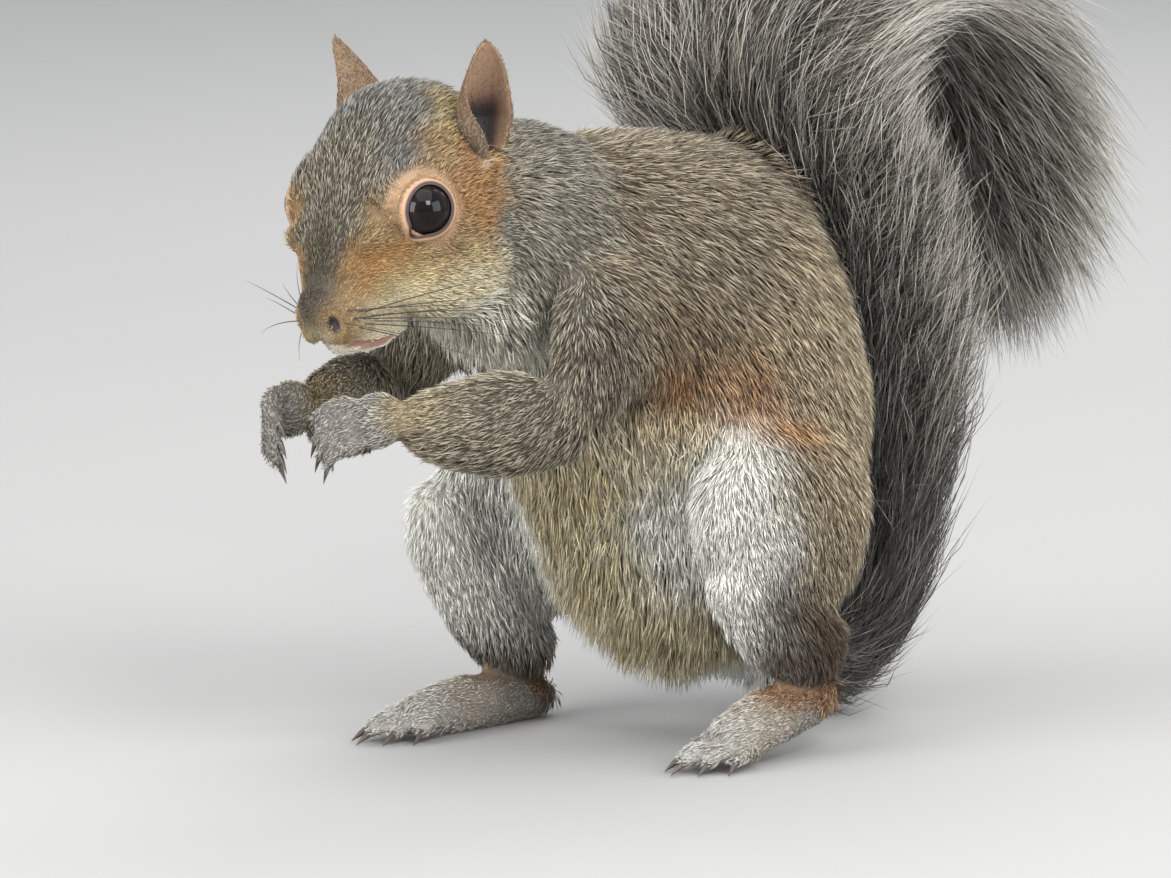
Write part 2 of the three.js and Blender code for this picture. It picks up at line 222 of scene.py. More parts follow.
def capped_grid(rows, around):
    """Triangles of a grid of rows that close on themselves, with a pole beyond the first and last."""
    i, j = np.meshgrid(np.arange(rows - 1), np.arange(around), indexing="ij")
    a, b = i * around + j, i * around + (j + 1) % around
    c, d = b + around, a + around
    j = np.arange(around)
    k, last, pole = (j + 1) % around, (rows - 1) * around, rows * around
    first_cap = np.stack([k, j, np.full(around, pole)], 1)
    last_cap = np.stack([last + j, last + k, np.full(around, pole + 1)], 1)
    walls = np.concatenate([np.stack([a, b, d], -1).reshape(-1, 3), np.stack([b, c, d], -1).reshape(-1, 3)])
    return np.concatenate([walls, first_cap, last_cap])


def outward(points, faces):
    """The faces, all turned over if the volume that they close is negative."""
    a, b, c = (points[faces[:, i]] for i in range(3))
    return faces if np.einsum("ij,ij->", a, np.cross(b, c)) > 0 else faces[:, ::-1]


eye_finish = Finish("wet_eye")
lens = eye_finish.add("ShaderNodeAttribute", {"attribute_name": "off_axis"}, out=2)
iris_stops = [  # from the pupil out to the dark rim
    (0.0, (0.002, 0.002, 0.002)), (0.34, (0.003, 0.002, 0.002)),
    (0.46, (0.011, 0.006, 0.004)), (0.66, (0.004, 0.003, 0.003)),
]
iris = eye_finish.add("ShaderNodeValToRGB", {"stops": iris_stops}, {0: lens})
eye_flecks = eye_finish.noise(2600, 3)
eye_material = eye_finish.surface(
    Base_Color=eye_finish.mix(eye_flecks * 0.25, iris, (0.008, 0.005, 0.004)),
    Roughness=eye_flecks * 0.03 + 0.02,
    IOR=1.34,
    Specular_IOR_Level=0.4,
)

SIDES = (("left", 1), ("right", -1))
for side, sign in SIDES:
    points, faces = globe()
    off_axis = np.arccos(np.clip(unit(points - EYE_PLACE) @ EYE_AXIS, -1, 1)) / np.pi * 2
    points = points * [sign, 1, 1]
    mesh = mesh_of("eyeball_" + side, from_head(points), outward(points - EYE_PLACE * [sign, 1, 1], faces))
    mesh.attributes.new("off_axis", "FLOAT", "POINT").data.foreach_set("value", off_axis)
    piece_of("eyeball_" + side, mesh, eye_material, "eye", "eye_" + side)


# ---------------------------------------------------------------------------------------------------------
# The skin
# One closed skin over head, trunk, limbs, feet and the thin tail. Its rounded forms follow the packed
# flesh; they are joined and eased smooth, and drawn in by the depth of the coat that grows on them.

VOXEL = 0.62  # mm, the fineness of the joined skin
SKIN_TRIANGLES = 155000  # what the joined skin is thinned to
SOCKET = 6.9  # mm, the radius of the flesh round the back of an eye

# Forms of the body: centre, half width, half height above and below, with the bluntness of both ends
TRUNK = [(0, 40, 20, 22, 18, 16), (0, 26, 38, 36, 33, 30), (0, 12, 62, 40, 47, 36),
         (0, -2, 88, 37, 50, 36), (0, -22, 106, 28, 35, 32), (0, -42, 114, 20, 24, 24)]
NECK = [(0, -20, 108, 24, 25, 28), (-1, -38, 115, 22, 22, 30), (-2, -56, 117, 19, 19, 27),
        (-2.5, -74, 110, 11, 12, 17)]
SHOULDER = [(17, -24, 108, 8, 14, 14), (25, -25, 94, 8, 14, 16), (28, -26, 80, 7, 12, 14)]
THIGH = [(25, 34, 36, 12, 18, 18), (31, 16, 46, 14, 27, 26), (36, -3, 54, 13, 24, 24),
         (39, -20, 58, 10, 13, 14)]
UPPER_ARM = [(18, -22, 106, 9, 15, 15), (25, -36, 92, 9, 15, 14), (28, -47, 77, 8, 11, 11)]
SHANK = {
    "left": [(38, -14, 46, 9, 12, 12), (37, 1, 33, 9, 13, 12),
             (37, 13, 24, 8.5, 11, 11), (36, 21, 18, 6, 6, 7)],
    "right": [(39, -20, 56, 9.5, 12, 10), (39.5, -17, 44, 10, 13.5, 12), (39, -7, 30, 10, 14, 13),
              (38.5, 2, 17, 9, 12, 11), (38, 8, 10, 7, 7.5, 7)],
}
FOREARM = {
    "left": [(29, -44, 75, 9, 11, 10), (22, -60, 76, 8, 12, 12),
             (14, -73, 77, 6.5, 8.5, 10.5), (10, -80, 77.5, 5, 6.5, 8)],
    "right": [(29, -44, 75, 9, 11, 10), (24, -60, 76, 8, 12, 12),
              (18, -75, 78, 6.5, 8.5, 10), (15, -82, 79, 5, 6.5, 7.5)],
}
# The head in its own frame, from the back of the skull to the nose, and the swellings on it
SKULL = [(0, 27, -1, 14, 19, 14), (0, 16, 0, 20, 28, 18), (0, 5, 0.5, 22, 30, 19), (0, -6, -1, 21, 25, 17.5),
         (0, -16.5, -4, 15.8, 16.8, 14), (0, -26, -7.5, 9.8, 10, 9), (0, -33.5, -9, 6.8, 6.5, 6)]
FACE = [  # given for the left: place and half sizes
    ((11.5, -2, -8), (10.5, 16, 12)),  # cheek
    ((12.4, -7, 11.5), (8, 11.5, 7.5)),  # brow
    ((3.6, -25.5, -9), (5.8, 8, 6)),  # whisker pad
    ((2.6, -19, -14.5), (6.5, 10, 5)),  # lower jaw
    ((0, -30.4, -6.5), (5.4, 4.0, 5.8)),  # nose
    ((3.2, -28.8, -10.5), (4.4, 5.0, 4.4)),  # upper lip
    ((0.8, -24, -15.2), (4.6, 6.2, 3.4)),  # chin and lower lip
    ((9.5, -16, 5.5), (5.5, 9, 4.5)),  # ridge from the brow to the nose
]

WRIST, ANKLE, INSTEP, BALL = (4.6, 5.2, 5), (5.5, 5.5, 6), (6, 7.5, 6), (8, 6, 6.5)
FINGER_RADIUS, TOE_RADIUS, TOE_LENGTH = 2.1, 2.6, 15
HANDS = {  # given for the left: x changes sign on the right
    "left": dict(wrist=(11, -78, 78), knuckles=(4, -88, 77), tips=(-2, -93, 71), spread=(1.2, 0.5, -4.2)),
    "right": dict(wrist=(15, -82, 79), knuckles=(14, -93, 78), tips=(7, -98, 71), spread=(0.6, 0.6, -4.4)),
}
FINGER_BEND, PALM = np.array([0.6, -2.6, 1]), np.array([4.2, 6.2, 6.2])
FEET = {
    "left": {"heel": (36, 22, 13), "ball": (36.5, -14, 4.8), "slope": 0.08},
    "right": {"heel": (38, 12, 4.8), "ball": (36.5, -34, 4.6), "slope": -0.04},
}
TAIL_LINE = [
    (0, 40, 15), (0, 54, 10.5), (0, 67, 30), (0, 67, 62), (0, 60, 90), (0, 47, 118),
    (0, 33, 142), (0, 44, 158), (0, 66, 160), (0, 86, 146), (0, 97, 118), (0, 100, 72),
]
TAIL_GIRTH = [  # half width, half thickness above and below, of the whole plume
    (15, 13, 13), (17, 12, 14), (20, 12, 12), (29, 12, 13), (44, 12, 12), (49, 12, 12),
    (52, 12, 11), (53, 12, 12), (52, 12, 12), (52, 12, 12), (52, 11, 11), (40, 7, 7),
]


def curve(stations, u):
    """A smooth curve through the stations, at u from 0 to 1: on each span a cubic whose end slopes weigh the
    chords around it by the square roots of their lengths. Gives the points and the slopes."""
    p = np.asarray(stations, float)
    spans = len(p) - 1
    p = np.vstack([2 * p[0] - p[1], p, 2 * p[-1] - p[-2]])
    t = np.clip(np.asarray(u, float), 0, 1) * spans
    i = np.minimum(t.astype(int), spans - 1)
    t = (t - i)[:, None]
    a, b, c, d = p[i], p[i + 1], p[i + 2], p[i + 3]
    g0, g1, g2 = (np.linalg.norm(v, axis=1, keepdims=True) ** 0.5 for v in (b - a, c - b, d - c))
    g1 = np.where(g1 < 1e-4, 1, g1)
    g0, g2 = np.where(g0 < 1e-4, g1, g0), np.where(g2 < 1e-4, g1, g2)
    s = g1 * ((b - a) / g0 - (c - a) / (g0 + g1) + (c - b) / g1)
    e = g1 * ((c - b) / g1 - (d - b) / (g1 + g2) + (d - c) / g2)
    q, r = -3 * b + 3 * c - 2 * s - e, 2 * b - 2 * c + s + e
    return b + s * t + q * t**2 + r * t**3, s + 2 * q * t + 3 * r * t**2


def form(line, girth, rings, around, blunt=(0.5, 0.5), span=(0, 1), square=2.0):
    """A closed form with rounded ends along a curve. Its ring at angle a from 0 to 180 degrees lies at
    share (1 - cos a) / 2 of the curve, and is a superellipse square to it, scaled by sin(a) to the
    bluntness' power."""
    a = np.pi * (np.arange(rings) + 0.5) / rings
    taper = np.sin(a) ** np.where(a < np.pi / 2, *blunt)
    u = span[0] + (span[1] - span[0]) * (1 - np.cos(a)) / 2
    centre, slope = curve(line, u)
    along = unit(slope)
    across = unit(np.array([1.0, 0, 0]) - along * along[:, :1])
    above = np.cross(along, across)
    half = curve(girth, u)[0] * taper[:, None]
    w = 2 * np.pi * np.arange(around) / around
    bulge = (np.abs(np.cos(w)) ** square + np.abs(np.sin(w)) ** square) ** (-1 / square)
    depth = np.where(np.sin(w) > 0, half[:, 1:2], half[:, 2:3])
    grid = (
        centre[:, None]
        + across[:, None] * (half[:, :1] * np.cos(w) * bulge)[..., None]
        + above[:, None] * (depth * np.sin(w) * bulge)[..., None]
    )
    ends = curve(line, np.array(span))[0]
    points = np.concatenate([grid.reshape(-1, 3), ends])
    return points, outward(points - points.mean(0), capped_grid(rings, around))


def mirrored(points, sign):
    """The points of the left side, or their mirror images for the right."""
    return np.asarray(points, float) * [sign, 1, 1]


def rows_of(rows, sign=1):
    """The places of a form's rows, on the left or mirrored to the right, and their half sizes."""
    return mirrored([row[:3] for row in rows], sign), [row[3:] for row in rows]


def set_in_head(made, sign=1):
    """A mesh of the head's frame in the body's, on the left or mirrored to the right."""
    return from_head(mirrored(made[0], sign)), made[1]


def gathered(parts):
    """The points and the faces of several meshes as those of one."""
    starts = np.cumsum([0] + [len(points) for points, _ in parts[:-1]])
    faces = [faces + start for (_, faces), start in zip(parts, starts)]
    return np.concatenate([points for points, _ in parts]), np.concatenate(faces)


def fingers(sign, wrist, knuckles, tips, spread):
    """The points of four curled fingers. Finger k lies (k - 1.5) / 1.5 spreads from the row's middle."""
    wrist, knuckles, tips, spread = (np.array(v, float) for v in (wrist, knuckles, tips, spread))
    for k in range(4):
        row = (k - 1.5) / 1.5
        root = wrist + (knuckles - wrist) * 0.75 + 0.8 * row * spread
        knuckle = knuckles + row * spread
        tip = knuckle + (tips + 1.05 * row * spread - knuckle) * (1 - 0.12 * row**2)
        joint = knuckle + (tip - knuckle) * 0.55 + FINGER_BEND
        yield mirrored([root, knuckle, joint, tip], sign), FINGER_RADIUS


def toes(sign, heel, ball, slope):
    """The points of a foot's five toes, fanned by 0.28 of their length, with their tips on the floor."""
    for k in range(5):
        row = (k - 2) / 2
        aim = unit([slope + 0.28 * row, -1, 0]) * TOE_LENGTH * (1 - 0.28 * row**2)
        root = np.array([ball[0] + 4.5 * row, ball[1] + 3 + 4 * abs(row), 0])
        points = [root + aim * t + [0, 0, z] for t, z in ((0, 2.8), (0.5, 4.3), (1, 2.3))]
        yield mirrored(points, sign), TOE_RADIUS


digits = []  # (hand or foot, points, radius)
for side, sign in SIDES:
    digits += [("hand", *digit) for digit in fingers(sign, **HANDS[side])]
    digits += [("foot", *digit) for digit in toes(sign, **FEET[side])]


def merged_copy(name):
    """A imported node's points and triangles, in millimetres of the body's frame, equal corners merged."""
    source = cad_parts[name].data
    source.calc_loop_triangles()
    points = np.empty(len(source.vertices) * 3)
    source.vertices.foreach_get("co", points)
    faces = np.empty(len(source.loop_triangles) * 3, np.int32)
    source.loop_triangles.foreach_get("vertices", faces)
    points = points.reshape(-1, 3) / MM - FRAME_SHIFT
    _, first, number = np.unique(np.round(points, 3), axis=0, return_index=True, return_inverse=True)
    return points[first], number.ravel()[faces].reshape(-1, 3)


def normals_of(points, faces):
    """Unit normals at the points: the sum of the cross products of the triangles around each."""
    n = np.cross(points[faces[:, 1]] - points[faces[:, 0]], points[faces[:, 2]] - points[faces[:, 0]])
    sums = [sum(np.bincount(corner, n[:, c], len(points)) for corner in faces.T) for c in range(3)]
    return unit(np.stack(sums, 1))


def ball(place, half, rows=14, around=20):
    """An ellipsoid at a place of the head's frame, from its three half sizes, with its poles up and down."""
    t = np.linspace(0, np.pi, rows + 2)[1:-1, None]
    p = 2 * np.pi * np.arange(around)[None] / around
    grid = np.stack([np.sin(t) * np.cos(p), np.sin(t) * np.sin(p), np.cos(t) + 0 * p], -1).reshape(-1, 3)
    points = np.concatenate([grid, [[0, 0, 1], [0, 0, -1]]]) * half + place
    return points, outward(points - np.asarray(place, float), capped_grid(rows, around))


def joined_skin():
    """Trunk, neck, head, limbs, hands, feet and thin tail, made one closed surface by voxels."""
    parts = [form(*rows_of(TRUNK), 70, 72, (0.5, 0.6)), form(*rows_of(NECK), 40, 56, (0.4, 0.5))]
    parts.append(set_in_head(form(*rows_of(SKULL), 70, 72, (0.55, 0.45), square=2.1)))
    for side, sign in SIDES:
        parts.append(form(*rows_of(THIGH, sign), 44, 48, (0.7, 0.6)))
        parts.append(form(*rows_of(UPPER_ARM, sign), 36, 40, (0.6, 0.5)))
        parts.append(form(*rows_of(SHOULDER, sign), 30, 36, (0.6, 0.6)))
        parts.append(form(*rows_of(SHANK[side], sign), 36, 40))
        parts.append(form(*rows_of(FOREARM[side], sign), 40, 36, (0.45, 0.45)))
        wrist, knuckles = (np.array(HANDS[side][k], float) for k in ("wrist", "knuckles"))
        line = mirrored([wrist, wrist + 0.6 * (knuckles - wrist), knuckles], sign)
        parts.append(form(line, [WRIST, PALM, 0.87 * PALM], 30, 32))
        heel, toe_root = (np.array(FEET[side][k], float) for k in ("heel", "ball"))
        line = mirrored([heel, heel + 0.55 * (toe_root - heel), toe_root], sign)
        parts.append(form(line, [ANKLE, INSTEP, BALL], 40, 32, (0.5, 0.4)))
        parts.append(set_in_head(ball(EYE_PLACE - 1.7 * EYE_AXIS, (SOCKET,) * 3), sign))
        parts += [set_in_head(ball(mirrored(place, sign), half)) for place, half in FACE]
        parts.append(set_in_head(form(mirrored(LOBE, sign), [(2.0, 2.3, 2.3)] * 3, 24, 24, (0.4, 0.4))))
    for _, points, radius in digits:
        girth = [[radius * (1 - 0.25 * i / len(points))] * 3 for i in range(len(points))]
        parts.append(form(points, girth, 24, 14, (0.4, 0.45)))
    tail_base = [(0, 24, 34, 13, 13, 12), (0, 42, 18, 9.5, 9, 8), (0, 56, 13, 6, 6, 6)]
    parts.append(form(*rows_of(tail_base), 30, 36))
    thin_tail = [(radius,) * 3 for radius in (6.5, 5.5, 4) for _ in range(4)]
    parts.append(form(TAIL_LINE, thin_tail, 90, 20, span=(0.04, 0.86)))
    holder = bpy.data.objects.new("skin_voxels", mesh_of("skin_voxels", *gathered(parts)))
    bpy.context.scene.collection.objects.link(holder)
    remesh = holder.modifiers.new("join", "REMESH")
    remesh.mode, remesh.voxel_size, remesh.adaptivity = "VOXEL", VOXEL * MM, 0
    return evaluated(holder)


def evaluated(holder):
    """The points and triangles of an object with its modifiers carried out. The object is then removed."""
    made = holder.evaluated_get(bpy.context.evaluated_depsgraph_get()).to_mesh()
    made.calc_loop_triangles()
    points = np.empty(len(made.vertices) * 3)
    made.vertices.foreach_get("co", points)
    faces = np.empty(len(made.loop_triangles) * 3, np.int32)
    made.loop_triangles.foreach_get("vertices", faces)
    bpy.data.objects.remove(holder)
    return points.reshape(-1, 3) / MM - FRAME_SHIFT, faces.reshape(-1, 3)


def edges_of(faces):
    """Each edge of the triangles once, as a row of two point numbers."""
    pairs = np.sort(np.concatenate([faces[:, [0, 1]], faces[:, [1, 2]], faces[:, [2, 0]]]), axis=1)
    code = np.unique(pairs[:, 0].astype(np.int64) * (faces.max() + 1) + pairs[:, 1])
    return np.stack([code // (faces.max() + 1), code % (faces.max() + 1)], 1)


def eased(values, edges, rounds, share=0.5):
    """Values at the points, each moved by a share of the way to its neighbours' mean, in every round."""
    values = np.array(values, float)
    flat = values.reshape(len(values), -1)
    count = np.maximum(np.bincount(edges.ravel(), minlength=len(flat)), 1)
    share = np.broadcast_to(np.asarray(share, float), len(flat))
    for _ in range(rounds):
        for c in range(flat.shape[1]):
            column = flat[:, c]
            near = np.bincount(edges[:, 0], column[edges[:, 1]], len(flat))
            near += np.bincount(edges[:, 1], column[edges[:, 0]], len(flat))
            flat[:, c] = column + share * (near / count - column)
    return flat.reshape(values.shape)


def part_finder():
    """The flesh nodes' names, and a function from points to the number of the node whose surface is nearest,
    by way of even samples of the nodes' surfaces."""
    rng = np.random.default_rng(4)
    names = [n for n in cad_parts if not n.startswith("eye")]
    tree_points, owner = [], []
    for number, name in enumerate(names):
        points, faces = merged_copy(name)
        a, b, c = (points[faces[:, k]] for k in range(3))
        area = np.linalg.norm(np.cross(b - a, c - a), axis=1) / 2
        count = int(area.sum() / 1.6)
        face = np.searchsorted(np.cumsum(area) / area.sum(), (np.arange(count) + 0.5) / count)
        s, t = rng.random((2, count, 1))
        flip = s + t > 1
        s, t = np.where(flip, 1 - s, s), np.where(flip, 1 - t, t)
        tree_points.append(a[face] + s * (b - a)[face] + t * (c - a)[face])
        owner.append(np.full(count, number))
    tree_points, owner = np.concatenate(tree_points), np.concatenate(owner)
    tree = KDTree(len(tree_points))
    for i, p in enumerate(tree_points):
        tree.insert(p, i)
    tree.balance()

    def part_at(points):
        return owner[[tree.find(p)[1] for p in points]]

    return names, part_at


def within(part, *starts):
    """Which of the nodes' numbers belong to nodes whose names start in one of these ways."""
    return np.array([name.startswith(starts) for name in PART_NAMES])[part]


def one_body(points, faces, edges):
    """Only the largest connected part: each point takes its neighbours' lowest number until none changes."""
    number = np.arange(len(points))
    while True:
        low = np.minimum(number[edges[:, 0]], number[edges[:, 1]])
        was = number.copy()
        np.minimum.at(number, edges[:, 0], low)
        np.minimum.at(number, edges[:, 1], low)
        number = number[number][number[number]]
        if (number == was).all():
            break
    return kept(points, faces, number == np.bincount(number).argmax())


def kept(points, faces, mask):
    """The points under the mask and the faces that have all their corners among them."""
    new = np.cumsum(mask) - 1
    return points[mask], new[faces[mask[faces].all(1)]]


def smoothstep(low, high, x):
    """0 below low, 1 above high, and 3t^2 - 2t^3 between them."""
    t = np.clip((x - low) / (high - low), 0, 1)
    return t * t * (3 - 2 * t)


def ripple(points, wavelength, seed):
    """Smooth noise of about -1 to 1: the scaled mean of seven sine waves of about one length."""
    rng = np.random.default_rng(seed)
    waves = unit(rng.normal(size=(7, 3))) * rng.uniform(0.7, 1.4, (7, 1)) * 2 * np.pi / wavelength
    return np.sin(points @ waves.T + rng.uniform(0, 2 * np.pi, 7)).mean(1) * 1.6


# The kinds of coat: colour of the hair near the skin, in the middle and at a pale tip, and share of those
COATS = {
    "back": ((54, 46, 36), (128, 112, 88), (200, 188, 165), 0.46),
    "rump": ((68, 59, 45), (160, 141, 110), (228, 213, 184), 0.46),
    "haunch": ((62, 54, 42), (150, 132, 104), (220, 207, 178), 0.5),
    "nape": ((44, 41, 35), (94, 88, 74), (170, 163, 145), 0.42),
    "collar": ((56, 52, 44), (121, 114, 98), (200, 193, 175), 0.5),
    "crown": ((44, 42, 38), (92, 89, 82), (174, 171, 161), 0.45),
    "forehead": ((46, 43, 36), (106, 99, 82), (188, 180, 158), 0.45),
    "bridge": ((38, 34, 26), (78, 70, 52), (142, 130, 102), 0.4),
    "nose": ((36, 31, 25), (62, 54, 42), (108, 96, 76), 0.35),
    "orange": ((106, 74, 35), (160, 113, 57), (194, 150, 88), 0.5),
    "tawny": ((84, 64, 38), (148, 118, 74), (196, 166, 118), 0.5),
    "olive": ((112, 96, 60), (172, 150, 98), (210, 194, 146), 0.55),
    "eye_ring": ((142, 110, 80), (180, 148, 114), (206, 180, 146), 0.6),
    "cream": ((160, 146, 114), (208, 195, 160), (234, 226, 200), 0.62),
    "throat": ((200, 195, 174), (230, 225, 208), (244, 242, 232), 0.75),
    "flank": ((50, 43, 33), (116, 99, 74), (190, 172, 140), 0.46),
    "rust": ((96, 60, 32), (160, 112, 66), (198, 160, 112), 0.42),
    "white": ((198, 198, 188), (224, 224, 215), (242, 242, 236), 0.78),
    # The belly: partly its own pale buff, and partly darkened as painted shade under the body and arms.
    "belly": ((118, 101, 62), (186, 170, 124), (234, 225, 194), 0.56),
    "russet": ((36, 26, 17), (74, 54, 34), (122, 96, 66), 0.32),
    "shin": ((50, 45, 38), (96, 90, 76), (158, 152, 136), 0.45),
    "ankle": ((86, 58, 34), (148, 110, 72), (190, 158, 120), 0.42),
    "instep": ((124, 114, 100), (180, 172, 158), (220, 215, 204), 0.55),
    "toes": ((118, 114, 106), (178, 176, 168), (224, 223, 217), 0.6),
    "arm": ((44, 39, 32), (108, 97, 80), (190, 180, 158), 0.48),
    "inner_arm": ((128, 118, 96), (176, 167, 144), (216, 211, 192), 0.55),
    "wrist": ((86, 74, 50), (160, 142, 106), (206, 192, 160), 0.5),
    "hand": ((74, 70, 64), (138, 134, 125), (210, 208, 201), 0.5),
    "behind_ear": ((92, 80, 62), (138, 125, 104), (190, 179, 157), 0.55),
    "ear": ((78, 58, 39), (118, 94, 68), (160, 135, 106), 0.5),
}

